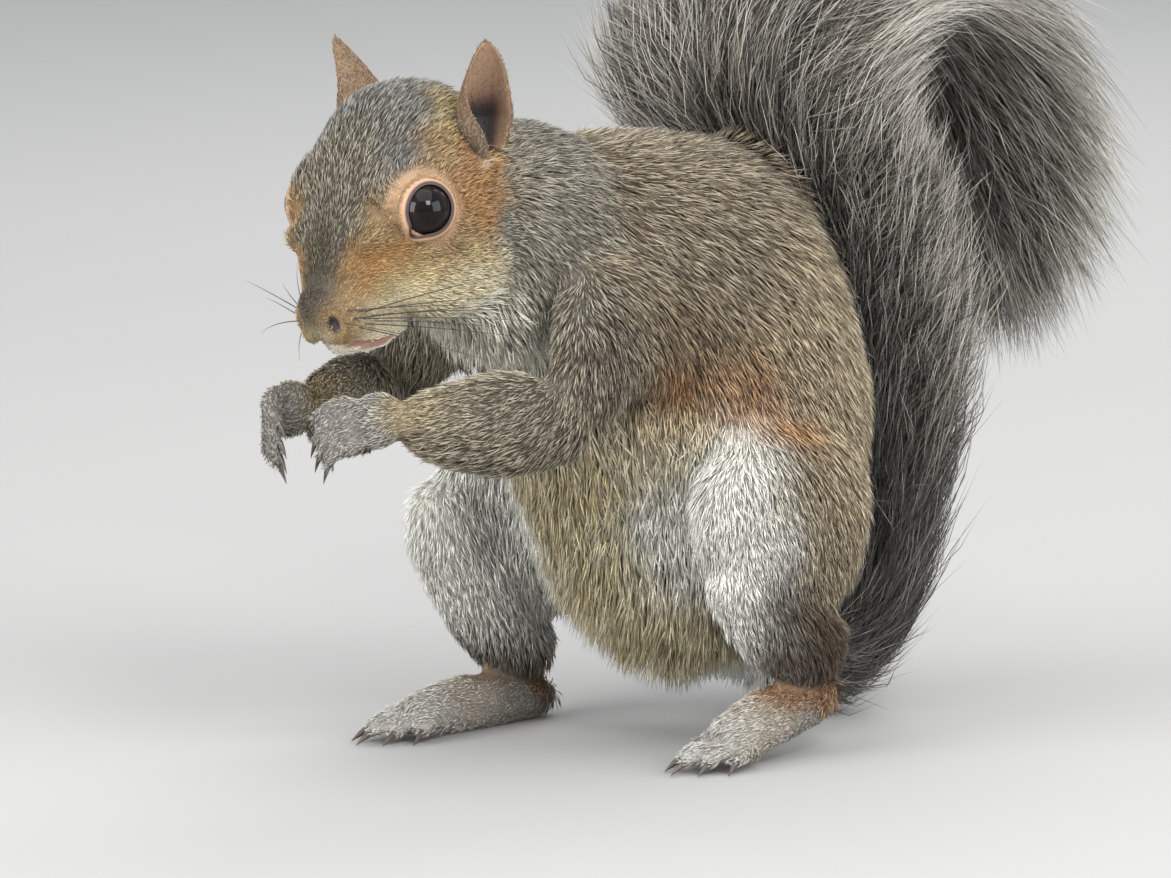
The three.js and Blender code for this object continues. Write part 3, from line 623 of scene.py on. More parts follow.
# How the coat lies: a place on it, the way its hair points, its hair's length in mm and its kind.
# Each is given for the left side. Places on the head are in the head's own frame.
LIE = {
    "trunk": [
        ((4, -40, 138), (0, 1, 0), 5.5, "nape"), ((20, -38, 126), (0.1, 0.95, -0.3), 5.5, "collar"),
        ((22, -37, 108), (0.15, 0.75, -0.65), 6, "collar"), ((18, -48, 106), (0.1, 0.6, -0.8), 7, "collar"),
        ((12, -52, 100), (0.1, 0.5, -0.85), 8, "throat"),
        ((8, -56, 92), (0, 0.3, -0.95), 8, "throat"), ((0, -58, 90), (0, 0.3, -0.95), 8, "throat"),
        ((0, -12, 134), (0, 1, -0.1), 6.5, "back"),
        ((13, 5, 127), (0.05, 0.9, -0.4), 7, "back"), ((0, 30, 120), (0, 0.8, -0.6), 7, "back"),
        ((0, 50, 98), (0, 0.5, -0.87), 7, "back"), ((0, 58, 72), (0, 0.15, -1), 7.5, "back"),
        ((0, 50, 36), (0, 0.3, -0.95), 7.5, "rump"), ((22, -20, 122), (0.15, 0.8, -0.55), 6.5, "back"),
        ((29, -6, 106), (0.15, 0.6, -0.78), 7, "back"), ((34, 22, 95), (0.1, 0.5, -0.86), 7, "rump"),
        ((36, 8, 90), (0.1, 0.4, -0.92), 7, "rump"), ((34, 38, 72), (0.1, 0.3, -0.95), 7.5, "rump"),
        ((31, -14, 92), (0.1, 0.4, -0.92), 7, "flank"), ((24, -34, 84), (0.1, 0.2, -1), 7, "flank"),
        ((31, -17, 83), (0.1, 0.15, -1), 6.5, "rust"), ((36, -6, 80), (0.1, 0.2, -1), 7, "rust"),
        ((38, 10, 74), (0.1, 0.2, -1), 7, "haunch"), ((38, 24, 70), (0.1, 0.25, -0.97), 7, "rump"),
        ((31, -15, 75), (0, 0, -1), 9, "cream"), ((34, -8, 72), (0, 0, -1), 9, "white"),
        ((20, -34, 74), (0.05, 0.1, -1), 10, "inner_arm"), ((8, -38, 84), (0, 0.2, -1), 9, "throat"),
        ((10, -30, 64), (0, 0, -1), 11, "belly"), ((0, -24, 50), (0, 0, -1), 12, "belly"),
        ((9, -21, 50), (0.05, -0.1, -1), 12, "belly"), ((22, -16, 52), (0, 0, -1), 10, "white"),
        ((0, -2, 28), (0, -0.25, -0.97), 15, "belly"), ((14, 0, 28), (0, -0.1, -1), 13, "belly"),
        ((14, 20, 14), (0, 0.3, -0.95), 9, "white"),
    ],
    "leg": [
        ((42, 20, 66), (0.1, 0.2, -0.97), 7, "rump"), ((40, 34, 52), (0.1, 0.2, -0.97), 7, "rump"),
        ((44, 15, 42), (0.1, 0.15, -1), 7, "haunch"), ((46, 4, 52), (0.05, 0.1, -1), 6, "haunch"),
        ((42, 14, 69), (0.1, 0.1, -1), 7, "haunch"), ((41, 4, 75), (0.1, 0, -1), 7, "rust"),
        ((45, 0, 62), (0.05, 0, -1), 6, "haunch"), ((45, -7, 64), (0.02, -0.05, -1), 6, "white"),
        ((40, -24, 62), (0, -0.1, -1), 5.5, "white"), ((34, -20, 74), (0, -0.2, -1), 6.5, "white"),
        ((46, -5, 50), (0, 0.05, -1), 5.5, "white"), ((40, -22, 48), (0, 0.1, -1), 5.5, "white"),
        ((28, -16, 54), (-0.05, 0, -1), 7, "white"), ((24, -6, 46), (-0.05, 0, -1), 9, "white"),
        ((26, 8, 38), (-0.05, 0, -1), 8, "white"),
        ((42, -15, 40), (0, 0.2, -1), 5, "white"), ((45, -3, 34), (0.05, 0.3, -0.95), 6, "shin"),
        ((37, -13, 31), (0, 0.25, -0.97), 6, "white"), ((31, -10, 30), (-0.05, 0.3, -0.95), 6, "white"),
        ((46, 8, 32), (0.05, 0.45, -0.9), 6, "russet"),
        ((45, 16, 24), (0.05, 0.5, -0.86), 5.5, "russet"), ((44, 3, 24), (0, 0.45, -0.9), 5, "russet"),
        ((30, 4, 28), (-0.05, 0.4, -0.9), 6, "white"), ((38, 4, 18), (0, 0.4, -0.9), 5, "shin"),
        ((40, 26, 18), (0, 0.2, -1), 5, "ankle"), ((36, 32, 24), (0, 0.4, -0.9), 5, "russet"),
    ],
    "foot": [
        ((40, 30, 14), (0, -0.6, -0.8), 4, "russet"), ((38, 16, 18), (0, -0.9, -0.4), 4, "ankle"),
        ((37, 3, 16), (0, -0.95, -0.3), 3.6, "ankle"), ((35, -5, 13), (0, -1, -0.2), 3.2, "instep"),
        ((35, -14, 10), (0, -1, -0.15), 2.8, "toes"), ((35, -26, 5), (0, -1, -0.05), 2.2, "toes"),
        ((30, 0, 8), (0, -1, -0.1), 3, "instep"), ((43, -2, 8), (0, -1, -0.1), 3, "instep"),
        ((36, 8, 4), (0, -1, 0), 1.6, "hand"),
    ],
    "arm": [
        ((20, -26, 118), (0.25, 0.65, -0.72), 6, "back"), ((30, -32, 108), (0.2, 0.5, -0.85), 6, "back"),
        ((32, -45, 95), (0.15, 0.3, -0.95), 5.5, "arm"), ((24, -48, 102), (0.15, 0.4, -0.9), 5.5, "collar"),
        ((27, -44, 88), (0.15, 0.2, -0.97), 5.5, "arm"), ((33, -30, 90), (0.15, 0.35, -0.93), 6, "back"),
        ((38, -50, 78), (0, -0.3, -0.95), 4.5, "arm"), ((31, -48, 68), (-0.2, -0.6, -0.7), 5, "arm"),
        ((28, -62, 84), (-0.5, -0.85, -0.05), 4, "arm"), ((20, -68, 86), (-0.55, -0.83, 0), 4.5, "arm"),
        ((26, -62, 68), (-0.5, -0.8, -0.1), 4.5, "arm"), ((15, -78, 82), (-0.6, -0.8, -0.05), 3.5, "wrist"),
        ((18, -72, 72), (-0.55, -0.83, 0), 4.5, "arm"), ((12, -68, 80), (-0.4, -0.9, 0), 4, "inner_arm"),
        ((16, -50, 84), (-0.2, -0.7, -0.6), 6, "inner_arm"),
        ((18, -42, 92), (-0.1, -0.5, -0.85), 6, "inner_arm"),
        ((14, -60, 84), (-0.3, -0.9, -0.3), 5, "inner_arm"),
    ],
    "hand": [
        ((14, -82, 80), (-0.6, -0.8, -0.05), 3, "wrist"), ((8, -87, 82), (-0.6, -0.75, -0.1), 2.4, "hand"),
        ((8, -86, 72), (-0.6, -0.7, -0.2), 2.2, "hand"), ((2, -93, 76), (-0.6, -0.5, -0.6), 1.8, "hand"),
    ],
    "head": [
        ((0, -37, -6), (0, 0.6, 0.8), 1.1, "nose"), ((1.5, -33, -1.5), (0.1, 0.85, 0.5), 1.4, "nose"),
        ((2.5, -35.5, -4), (0.1, 0.7, 0.7), 1.2, "nose"), ((1, -36.5, -10), (0.2, 0.6, 0.7), 1.1, "nose"),
        ((0.5, -30, -0.5), (0.1, 0.85, 0.5), 1.6, "nose"),
        ((5.5, -33, -6), (0.4, 0.85, 0.2), 1.3, "tawny"), ((4.7, -32, -12), (0.5, 0.85, 0.1), 1.2, "tawny"),
        ((0, -29, 2), (0, 0.9, 0.45), 2, "bridge"), ((0, -23, 6), (0, 0.88, 0.47), 2.4, "bridge"),
        ((8, -29, -1), (0.25, 0.95, 0.2), 1.8, "tawny"), ((8, -29.7, -7.7), (0.3, 0.92, 0.1), 1.6, "tawny"),
        ((6, -22, 8), (0.1, 0.9, 0.4), 2.6, "forehead"), ((0, -14, 18), (0, 0.85, 0.5), 3.2, "forehead"),
        ((9, -14, 15), (0.1, 0.9, 0.4), 3.2, "forehead"), ((5, -19, 13.5), (0.1, 0.9, 0.4), 3, "forehead"),
        ((12, -20, 8), (0.1, 0.93, 0.3), 2.4, "tawny"), ((14, -10, 17), (0.1, 0.95, 0.25), 3, "crown"),
        ((0, 0, 27), (0, 0.98, 0.15), 3.8, "crown"), ((11, -2, 25), (0, 0.99, 0.1), 3.8, "crown"),
        ((0, 12, 28), (0, 1, -0.15), 4.6, "crown"), ((0, 24, 22), (0, 0.9, -0.45), 4.5, "nape"),
        ((15, 7, 21), (0, 0.98, 0), 4, "olive"), ((17.5, -3, 17), (0.05, 0.99, 0), 3.2, "tawny"),
        ((10, -24, 0), (0.25, 0.95, -0.05), 2, "orange"), ((14, -20, 0), (0.2, 0.97, -0.1), 2.2, "orange"),
        ((18.5, -11, -2), (0.1, 0.96, -0.25), 2.6, "tawny"),
        ((20.5, -4, -2), (0.05, 0.97, -0.2), 2.8, "tawny"),
        ((21.5, 1, 1), (0, 0.99, -0.12), 3.2, "orange"), ((21, 3, 9), (0, 0.99, 0), 3.2, "orange"),
        ((20, 6, 4.5), (0, 0.96, -0.3), 4, "orange"), ((19, 7, 14), (0, 0.98, -0.15), 3.2, "orange"),
        ((17, 17, 2), (0, 0.95, -0.3), 5, "behind_ear"), ((17, 20, 5), (0, 0.95, -0.3), 5, "behind_ear"),
        ((19, 17, -3), (0, 0.9, -0.45), 4.5, "collar"), ((20, 8, -4), (0, 0.9, -0.45), 4.2, "collar"),
        ((17, -14, -5), (0.1, 0.93, -0.35), 3, "olive"), ((12.5, -21, -4), (0.2, 0.95, -0.1), 2.2, "olive"),
        ((20, -5, -5.5), (0.05, 0.9, -0.4), 3.4, "olive"), ((17, -14, -9), (0.1, 0.93, -0.35), 3.2, "cream"),
        ((12, -19, -9), (0.25, 0.95, -0.1), 2, "cream"), ((9, -25, -11), (0.2, 0.95, -0.2), 1.8, "cream"),
        ((21, -6, -9.5), (0.05, 0.9, -0.42), 4, "cream"), ((18, -11, -13), (0.1, 0.9, -0.4), 3.6, "cream"),
        ((19, 2, -13), (0.05, 0.85, -0.5), 4, "cream"), ((18, 9, -12), (0.05, 0.85, -0.5), 4.5, "collar"),
        ((14, -3, -19), (0.05, 0.85, -0.5), 8, "throat"), ((8, 8, -24), (0, 0.8, -0.6), 9.5, "throat"),
        ((0, -10, -20), (0, 0.9, -0.4), 8, "throat"), ((0, -18, -19), (0, 0.97, -0.2), 4, "throat"),
        ((0, -28, -17), (0, 0.98, -0.15), 1.6, "throat"),
        ((5, -24, -18), (0.1, 0.97, -0.15), 1.8, "throat"), ((7, -24, -14), (0.2, 0.95, -0.2), 1.6, "cream"),
        ((0, -36, -12), (0, 0.3, -0.9), 1, "cream"),
    ],
}
RIGHT_STRIDE = -18  # mm, how far the right foot stands further forward than the left
KIND_OF_PART = {"trunk": "trunk", "neck": "trunk", "tail": "trunk", "thigh": "leg", "shank": "leg",
                "foot": "foot", "upper": "arm", "forearm": "arm", "hand": "hand",
                "head": "head", "ear": "head"}
# The columns of the coat's fields: the three colours, the share of pale tips and the length are its look
FIELDS = {"under": slice(0, 3), "middle": slice(3, 6), "tip": slice(6, 9), "pale": 9, "length": 10,
          "look": slice(0, 11), "lie": slice(11, 14)}


def look_of(kind, length=0):
    """The look of a kind of coat, with hair of a length."""
    return np.array([*np.concatenate([linear(c) for c in COATS[kind][:3]]), COATS[kind][3], length])


def coat_fields(points, part):
    """Colours, share of pale tips, length and lie of the hair at points. Each place of the table counts by
    exp(-distance / reach), with a wider reach for the lie than for the colours, which are also warped by
    ripples."""
    fields = np.zeros((len(points), 14))
    kinds = np.array([KIND_OF_PART[name.split("_")[0]] for name in PART_NAMES])[part]
    for kind, rows in LIE.items():
        chosen = np.flatnonzero(kinds == kind)
        if not len(chosen):
            continue
        place, lie = (np.array([row[k] for row in rows], float) for k in (0, 1))
        place, lie = (np.concatenate([values, mirrored(values, -1)]) for values in (place, lie))
        lie = unit(lie)
        if kind in ("leg", "foot"):
            low = place[:, 2] < 60
            place[:, 1] += np.where((place[:, 0] < 0) & low, RIGHT_STRIDE * (1 - place[:, 2] / 60), 0)
        here = points[chosen]
        if kind == "head":
            here, lie = to_head(here), lie @ HEAD_TURN.T
        look = np.array([look_of(row[3], row[2]) for row in rows * 2])
        small = kind in ("head", "hand", "foot")
        reach, wave, wide, fine = (1.1, 9, 0.9, 0.35) if small else (1.9, 16, 2.2, 0.8)
        warp = np.stack([ripple(here, wave, seed) for seed in (11, 12, 13)], 1) * wide
        warp += np.stack([ripple(here, 3, seed) for seed in (14, 15, 16)], 1) * fine
        blends = {"look": (look, reach, here + warp), "lie": (lie, 4 * reach, here)}
        for field, (values, width, where) in blends.items():
            distance = np.linalg.norm(where[:, None] - place, axis=2)
            weight = np.exp(-(distance - distance.min(1, keepdims=True)) / width)
            fields[chosen, FIELDS[field]] = (weight / weight.sum(1, keepdims=True)) @ values
    return fields


def from_corner(angle, corner):
    """How far an angle in radians is from the eye's corner, given in degrees, the shorter way round."""
    return np.angle(np.exp(1j * (angle - math.radians(corner))))


def eye_opening(angle):
    """The half opening of the lids at an angle about the eye's axis, as an angle at the eye's middle: 55
    degrees and 3 more along the corner's line, drawn out by 21 exp(-(c / 0.26)^2) at c from the corner,
    forward and down."""
    corner = from_corner(angle, -40)
    oval = math.radians(55) + math.radians(3) * np.cos(2 * (angle - math.radians(-40)))
    return oval + math.radians(21) * np.exp(-((corner / 0.26) ** 2))


def lids(rings=26, around=144):
    """The rim of the lids about the left eye, in the head's frame, as rings at growing angles from the
    eye's axis: each stands on the globe at a height that climbs over the thin margin and sinks again under
    the skin around."""
    p = 2 * np.pi * np.arange(around)[None] / around
    s = np.linspace(0, 1, rings)[:, None]
    t = eye_opening(p) + np.radians(-3 + 32 * s)
    height = 0.02 + 0.42 * smoothstep(0, 0.12, s) + 0.3 * smoothstep(0.1, 0.4, s)
    radius = EYE_RADIUS + (height - 2.4 * smoothstep(0.5, 1, s))
    ring = about_eye(t, p)
    grid = (radius[..., None] * (np.cos(t)[..., None] * EYE_AXIS + ring)).reshape(-1, 3) + EYE_PLACE
    i, j = np.meshgrid(np.arange(rings - 1), np.arange(around), indexing="ij")
    a, b = (i * around + j).ravel(), (i * around + (j + 1) % around).ravel()
    faces = np.concatenate([np.stack([a, a + around, b], 1), np.stack([b, a + around, b + around], 1)])
    outwards = np.broadcast_to(ring, (rings, around, 3)).reshape(-1, 3)
    return grid, faces, np.broadcast_to(s, t.shape).ravel(), outwards


EAR_LENGTH, EAR_WIDTH, EAR_WALL = 24.8, 13, 1.1
EAR_PLACE = (16.4, 12, 10.5)  # the left ear's root, in the head's own frame
EAR_TURN, EAR_BACK, EAR_OUT = 1.25, -0.12, 0.24  # radians: opening turned outward, tipped back, leant outward


def ear(levels=60, arc=40):
    """The left ear in the head's frame: a leaf curled into the arc of a C, wider at its root. At height h
    its half width is half of the ear's by min(1, 0.7 + 1.2h) (1 - h^2.4)^0.62, and the arc runs from -88
    degrees at the hind edge to an angle at the front edge that falls from 150 degrees at the root to 75 at
    the tip. The inner side lies a wall's thickness inside the outer one, which thins to nothing at both
    edges. Gives also the height of each point, its depth in the cup (0 outside, 1 in the middle) and the
    ear's own upward way."""
    h = np.linspace(0, 1, levels)[:, None]
    half = 0.5 * EAR_WIDTH * np.minimum(1, 0.7 + 1.2 * h) * np.maximum(0.05, (1 - h**2.4) ** 0.62)
    cup = 1.1 * half * (1 - 0.45 * h)
    front = np.radians(75 + 75 * (1 - smoothstep(0.15, 0.85, h)))
    t_out = np.linspace(1, -1, arc)[None]
    t_in = np.linspace(-1, 1, arc)[None, 1:-1]
    rows = []
    for t, wall in ((t_out, 0 * t_out), (t_in, EAR_WALL * (1 - 0.4 * h) * np.sqrt(1 - 0.96 * t_in**2))):
        angle = np.where(t > 0, t * math.radians(88), t * front)
        sink = wall * (1 + 0.8 * (1 - h) ** 2)
        x = half * np.sin(angle) - np.sin(angle) * sink
        y = cup * np.cos(angle) - np.cos(angle) * sink - 0.25 * half * smoothstep(0.5, 1, h)
        rows.append(np.stack([x, y, np.broadcast_to(h * EAR_LENGTH, x.shape)], -1))
    grid = np.concatenate(rows, 1)
    around = grid.shape[1]
    grid = grid.reshape(-1, 3)
    points = np.concatenate([grid, [grid[:around].mean(0), grid[-around:].mean(0)]])
    stance = turn_about(1, EAR_OUT) @ turn_about(0, EAR_BACK) @ turn_about(2, EAR_TURN)
    turned = points @ stance.T + EAR_PLACE
    faces = outward(points - points.mean(0), capped_grid(levels, around))
    depth = np.concatenate([0 * t_out, 1 - t_in**2], 1)
    depth = np.concatenate([np.broadcast_to(depth, (levels, around)).ravel(), [0, 0]])
    height = np.concatenate([np.broadcast_to(h, (levels, around)).ravel(), [0, 1]])
    return turned, faces, height, depth, unit(stance @ [0, 0.15, 1])


# Marks of the left side of the head, in its own frame
LOBE = [(18.9, 8.4, 11.8), (20.0, 9.8, 9.8), (20.0, 12.2, 8.4)]  # the pale fold before and under the ear
EAR_HOLLOW = (17.2, 13.2, 13.6)
MOUTH = [(0, -32.8, -13), (3, -30.4, -14), (5.1, -26.4, -15.3), (6.8, -21.5, -16.6), (7.6, -16, -17)]
NOSTRIL = (4.9, -32.0, -8.6)


def as_left(points):
    """Points of the head's frame, with those of the right side mirrored to the left."""
    return np.concatenate([np.abs(points[:, :1]), points[:, 1:]], 1)


def from_line(points, line, count):
    """Distances of points of the head's frame, taken as the left, from count even places of a line."""
    return np.linalg.norm(as_left(points)[:, None] - curve(line, np.linspace(0, 1, count))[0], axis=2)


def dimple(points, place, half):
    """exp(-d^2) at points of the head's frame, taken as the left, d half sizes away from a place."""
    return np.exp(-((((as_left(points) - place) / half) ** 2).sum(1)))


def draw_in(points, faces, edges):
    """The surface of the coat eased smooth, drawn in along its normals by the depth of the coat there, and
    then given the folds of the mouth, the nostrils and the hollows that the eyes lie in."""
    part = part_at(points)
    head = within(part, "head", "ear")
    ease = eased(np.select([head, within(part, "hand", "foot")], [0.12, 0.0], 0.5), edges, 8)
    points = eased(points, edges, 4)
    points = eased(points, edges, 24, ease)
    torso = within(part, "neck", "trunk", "upper", "thigh")
    points = eased(points, edges, 60, eased(0.55 * torso, edges, 8))
    fields = coat_fields(points, part)
    depth = eased(np.clip(0.3 * fields[:, FIELDS["length"]] + 0.05, 0.3, 3.6), edges, 20)
    depth = np.where(within(part, "tail"), 0, depth)
    points = points - eased(normals_of(points, faces), edges, 6) * eased(depth, edges, 6)[:, None]
    here = to_head(points)
    normal = normals_of(points, faces) @ HEAD_TURN
    fold = np.exp(-((from_line(here, MOUTH, 24).min(1) / 0.75) ** 2)) * 1.3
    nostril = dimple(here, NOSTRIL, [1.6, 1.4, 2.0]) * 1.8
    hollow = dimple(here, EAR_HOLLOW, [4.5, 2.6, 3.6]) * 3.0
    here -= normal * np.where(head, fold + nostril + hollow, 0)[:, None]
    for sign in (1, -1):
        centre, axis = EYE_PLACE * [sign, 1, 1], EYE_AXIS * [sign, 1, 1]
        away = here - centre
        distance = np.linalg.norm(away, axis=1)
        angle = np.arccos(np.clip(away @ axis / np.maximum(distance, 1e-6), -1, 1))
        sunk = EYE_RADIUS - 0.9 + 1.3 * smoothstep(0.95, 1.3, angle)
        inside = head & (angle < 1.5) & (distance < 11)
        share = np.where(inside, 1 - smoothstep(1.16, 1.48, angle), 0)
        set_back = centre + away / distance[:, None] * (distance + share * (sunk - distance))[:, None]
        here = np.where(inside[:, None], set_back, here)
    points = np.where(head[:, None], from_head(here), points)
    points[:, 2] = np.maximum(points[:, 2], 0.3)
    return points


def thinned(points, faces, target):
    """The mesh with its flattest edges collapsed until about the target number of triangles is left."""
    holder = bpy.data.objects.new("skin_thinned", mesh_of("skin_thinned", points, faces))
    bpy.context.scene.collection.objects.link(holder)
    holder.modifiers.new("thin", "DECIMATE").ratio = target / len(faces)
    return evaluated(holder)


PART_NAMES, part_at = part_finder()
skin_points, skin_faces = joined_skin()
skin_points, skin_faces = one_body(skin_points, skin_faces, edges_of(skin_faces))
skin_points = draw_in(skin_points, skin_faces, edges_of(skin_faces))
skin_points, skin_faces = thinned(skin_points, skin_faces, SKIN_TRIANGLES)

skin_part = part_at(skin_points)
skin_fields = coat_fields(skin_points, skin_part)
skin_edges = edges_of(skin_faces)
skin_fields = eased(skin_fields, skin_edges, 4)
on_body = within(skin_part, "trunk", "neck", "upper", "thigh", "shank", "forearm")
for field, rounds, share in (("lie", 80, 0.6), ("look", 10, 0.5)):
    columns = FIELDS[field]
    skin_fields[:, columns] = eased(skin_fields[:, columns], skin_edges, rounds, share * on_body)

# Short radial hair round the eyes, wider above and before them, and how bare each point is
bare = np.zeros(len(skin_points))
here = to_head(skin_points)
on_head = within(skin_part, "head", "ear")
forward, up = frame_about(EYE_AXIS)
for _, sign in SIDES:
    away = (here - EYE_PLACE * [sign, 1, 1]) * [sign, 1, 1]
    flat = away - (away @ EYE_AXIS)[:, None] * EYE_AXIS
    distance = np.linalg.norm(flat, axis=1)
    p = np.arctan2(flat @ up, flat @ forward)
    corner = from_corner(p, -38)
    edge = 7.9 + 0.7 * np.cos(p) + 0.5 * np.sin(p) + 1.5 * np.exp(-((corner / 0.5) ** 2))
    front = on_head & (away @ EYE_AXIS > 0.5)
    ring = np.where(front, 1 - smoothstep(-0.5, 0.8, distance - edge + 0.3 * ripple(here, 3, 5)), 0)
    look = skin_fields[:, FIELDS["look"]]
    skin_fields[:, FIELDS["look"]] += ring[:, None] * (look_of("eye_ring", 1.1) - look)
    pull = np.where(front, 1 - smoothstep(0, 2.5, distance - edge), 0)[:, None]
    radial = unit(flat) * 0.75 + [0, 0.65, 0]
    skin_fields[:, FIELDS["lie"]] *= 1 - pull
    skin_fields[:, FIELDS["lie"]] += pull * (mirrored(radial, sign) @ HEAD_TURN.T)
    clear = distance - 1.7 * np.exp(-((corner / 0.35) ** 2))
    bare = np.maximum(bare, np.where(front, 1 - smoothstep(5.2, 6.0, clear), 0))
lip = np.where(on_head, 1 - smoothstep(1.1, 1.8, from_line(here, MOUTH, 24)[:, 8:20].min(1)), 0)
nostril_shade = np.where(on_head, dimple(here, NOSTRIL, [1.5, 1.1, 1.9]), 0)
bare = np.maximum(np.maximum(bare, lip), nostril_shade > 0.25)
lobe_skin = np.where(on_head, 1 - smoothstep(2.5, 3.2, from_line(here, LOBE, 12).min(1)), 0)
ear_hollow_shade = np.where(on_head, dimple(here, EAR_HOLLOW, [4, 2.6, 3.2]), 0) * (1 - lobe_skin)
bare = np.maximum(bare, np.maximum(0.6 * lobe_skin, smoothstep(0.3, 0.6, ear_hollow_shade)))


def mixed_in(colours, share, colour):
    """The colours, each moved by its share of the way to one colour."""
    return colours + share[:, None] * (linear(colour) - colours)


skin_colours = 0.6 * skin_fields[:, FIELDS["under"]] + 0.4 * skin_fields[:, FIELDS["middle"]]
skin_colours = mixed_in(skin_colours, lip, (158, 118, 104))
# The nostril's opening is painted near black: painted shade in the hole.
skin_colours = mixed_in(skin_colours, smoothstep(0.2, 0.45, nostril_shade), (14, 9, 8))
skin_colours = mixed_in(skin_colours, lobe_skin, (160, 136, 112))
# The hollow before the ear is painted near black: painted shade.
skin_colours = mixed_in(skin_colours, smoothstep(0.2, 0.6, ear_hollow_shade), (24, 16, 14))


def ear_of(sign):
    """An ear: its mesh, coat fields, colours and bareness. Painted shade darkens it deep in its cup."""
    points, faces, height, depth, up = ear()
    outer = depth == 0
    colours = np.tile(linear((150, 122, 98)), (len(points), 1))
    # Painted shade: the inside darkens down into the cup and goes near black in the pit low in it.
    cup = (1 - smoothstep(0.3, 0.7, height)) * smoothstep(0.2, 0.8, depth)
    pit_shade = (1 - smoothstep(0.28, 0.5, height)) * smoothstep(0.45, 0.85, depth)
    colours = mixed_in(mixed_in(colours, cup, (92, 64, 52)), pit_shade, (20, 14, 12))
    colours = mixed_in(colours, (1 - smoothstep(0.0, 0.25, depth)) * ~outer, (172, 142, 110))
    colours = np.where(outer[:, None], linear((122, 98, 72)), colours)
    outer_look, root_look = look_of("ear")[:9], look_of("crown")[:9]
    outer_look = outer_look + (0.7 * (1 - smoothstep(0.12, 0.5, height)))[:, None] * (root_look - outer_look)
    inner_look = np.concatenate([0.6 * colours, colours, 1.15 * colours], 1)
    fields = np.zeros((len(points), 14))
    fields[:, :9] = np.where(outer[:, None], outer_look, inner_look)
    fields[:, FIELDS["pale"]], fields[:, FIELDS["length"]] = 0.45, np.where(outer, 1.5 - 0.5 * height, 1.1)
    fields[:, FIELDS["lie"]] = HEAD_TURN @ mirrored(up, sign)
    return points, faces, fields, colours, np.where(outer, 0, np.clip(0.15 + 0.85 * depth, 0, 0.88))


def lids_of(sign):
    """The lids of an eye: their mesh, coat fields, colours and bareness, with a dark bare margin."""
    points, faces, out, ring = lids()
    colours = np.tile(linear((62, 46, 48)), (len(points), 1))
    colours = mixed_in(colours, smoothstep(0.10, 0.24, out), (178, 144, 112))
    fields = np.tile(np.append(look_of("eye_ring", 0.8), [0, 1, 0]), (len(points), 1))
    fields[:, FIELDS["lie"]] = mirrored(ring, sign) @ HEAD_TURN.T
    return points, faces, fields, colours, 1 - smoothstep(0.2, 0.34, out)


# The ears and lids are too thin to be joined so, and are worked out on their own and rooted in the skin
body_count = len(skin_points)
meshes, looks = [(skin_points, skin_faces)], [(skin_fields, skin_colours, bare)]
for _, sign in SIDES:
    for points, faces, *look in (ear_of(sign), lids_of(sign)):
        meshes.append(set_in_head((points, faces if sign > 0 else faces[:, ::-1]), sign))
        looks.append(look)
skin_points, skin_faces = gathered(meshes)
skin_fields, skin_colours, bare = (np.concatenate(values) for values in zip(*looks))
skin_part = np.append(skin_part, np.full(len(skin_points) - body_count, PART_NAMES.index("head")))
skin_normals = normals_of(skin_points, skin_faces)

skin_finish = Finish("skin_under_the_coat")
skin_grain = skin_finish.noise(1400, 4, 0.6)
skin_pores = skin_finish.noise(5200, 2, 0.6)
skin_relief = {"Height": skin_pores + skin_grain * 0.6, "Strength": 0.35, "Distance": 0.0003}
skin_material = skin_finish.surface(
    Base_Color=skin_finish.tinted(skin_grain * 0.5, (0.55, 0.5, 0.46)),
    Roughness=skin_grain * 0.2 + 0.5,
    Normal=skin_finish.add("ShaderNodeBump", None, skin_relief),
)
skin_mesh = mesh_of("skin", skin_points, skin_faces)
colour_mesh(skin_mesh, "tint", skin_colours)
piece_of("skin", skin_mesh, skin_material, "bare_skin", *PART_NAMES)


# ---------------------------------------------------------------------------------------------------------
# The claws
# Dark curved horn claws, one at the end of each finger and toe: narrow tapering forms that droop.

CLAW_LENGTH, CLAW_RADIUS = {"hand": 2.2, "foot": 4.0}, {"hand": 0.6, "foot": 0.72}


def claw(points, limb):
    """A tapering form from inside the digit's tip, along its last joint's heading, and drooping by the
    square of the distance along it."""
    heading = unit(points[-1] - points[-2])
    s = np.linspace(0, 1, 6)[:, None]
    droop = np.array([0, 0, -0.8 if limb == "foot" else -1.6])
    line = points[-1] - 1.2 * heading + s * (CLAW_LENGTH[limb] + 1.0) * heading + s**2 * droop
    line[:, 2] = np.maximum(line[:, 2], 0.35)
    girth = CLAW_RADIUS[limb] * (1 - 0.85 * s**1.3) * [[1, 1.5, 1.2]]
    return form(line, girth, 16, 10, (0.3, 0.6))


claw_finish = Finish("dark_horn")
claw_streaks = claw_finish.noise(1800, 3)
claw_material = claw_finish.surface(
    Base_Color=claw_finish.mix(claw_streaks, (0.018, 0.013, 0.010), (0.11, 0.085, 0.065)),
    Roughness=claw_streaks * 0.2 + 0.28,
)
claw_parts = [claw(points, limb) for limb, points, _ in digits]
piece_of("claws", mesh_of("claws", *gathered(claw_parts)), claw_material, "claw")


# ---------------------------------------------------------------------------------------------------------
# The coat
# Short hair over the whole body, as thin tapering tufts rooted in the skin. Each lies the way the coat lies
# there, bends down along the body, and is dark at its root, where painted shade deepens its dark underfur,
# coloured in its middle and pale or dark at its tip.

TUFT_UP = 0.6  # a tuft's thickness for its width
PATCH = 0.003  # how much of the baked picture a tuft takes


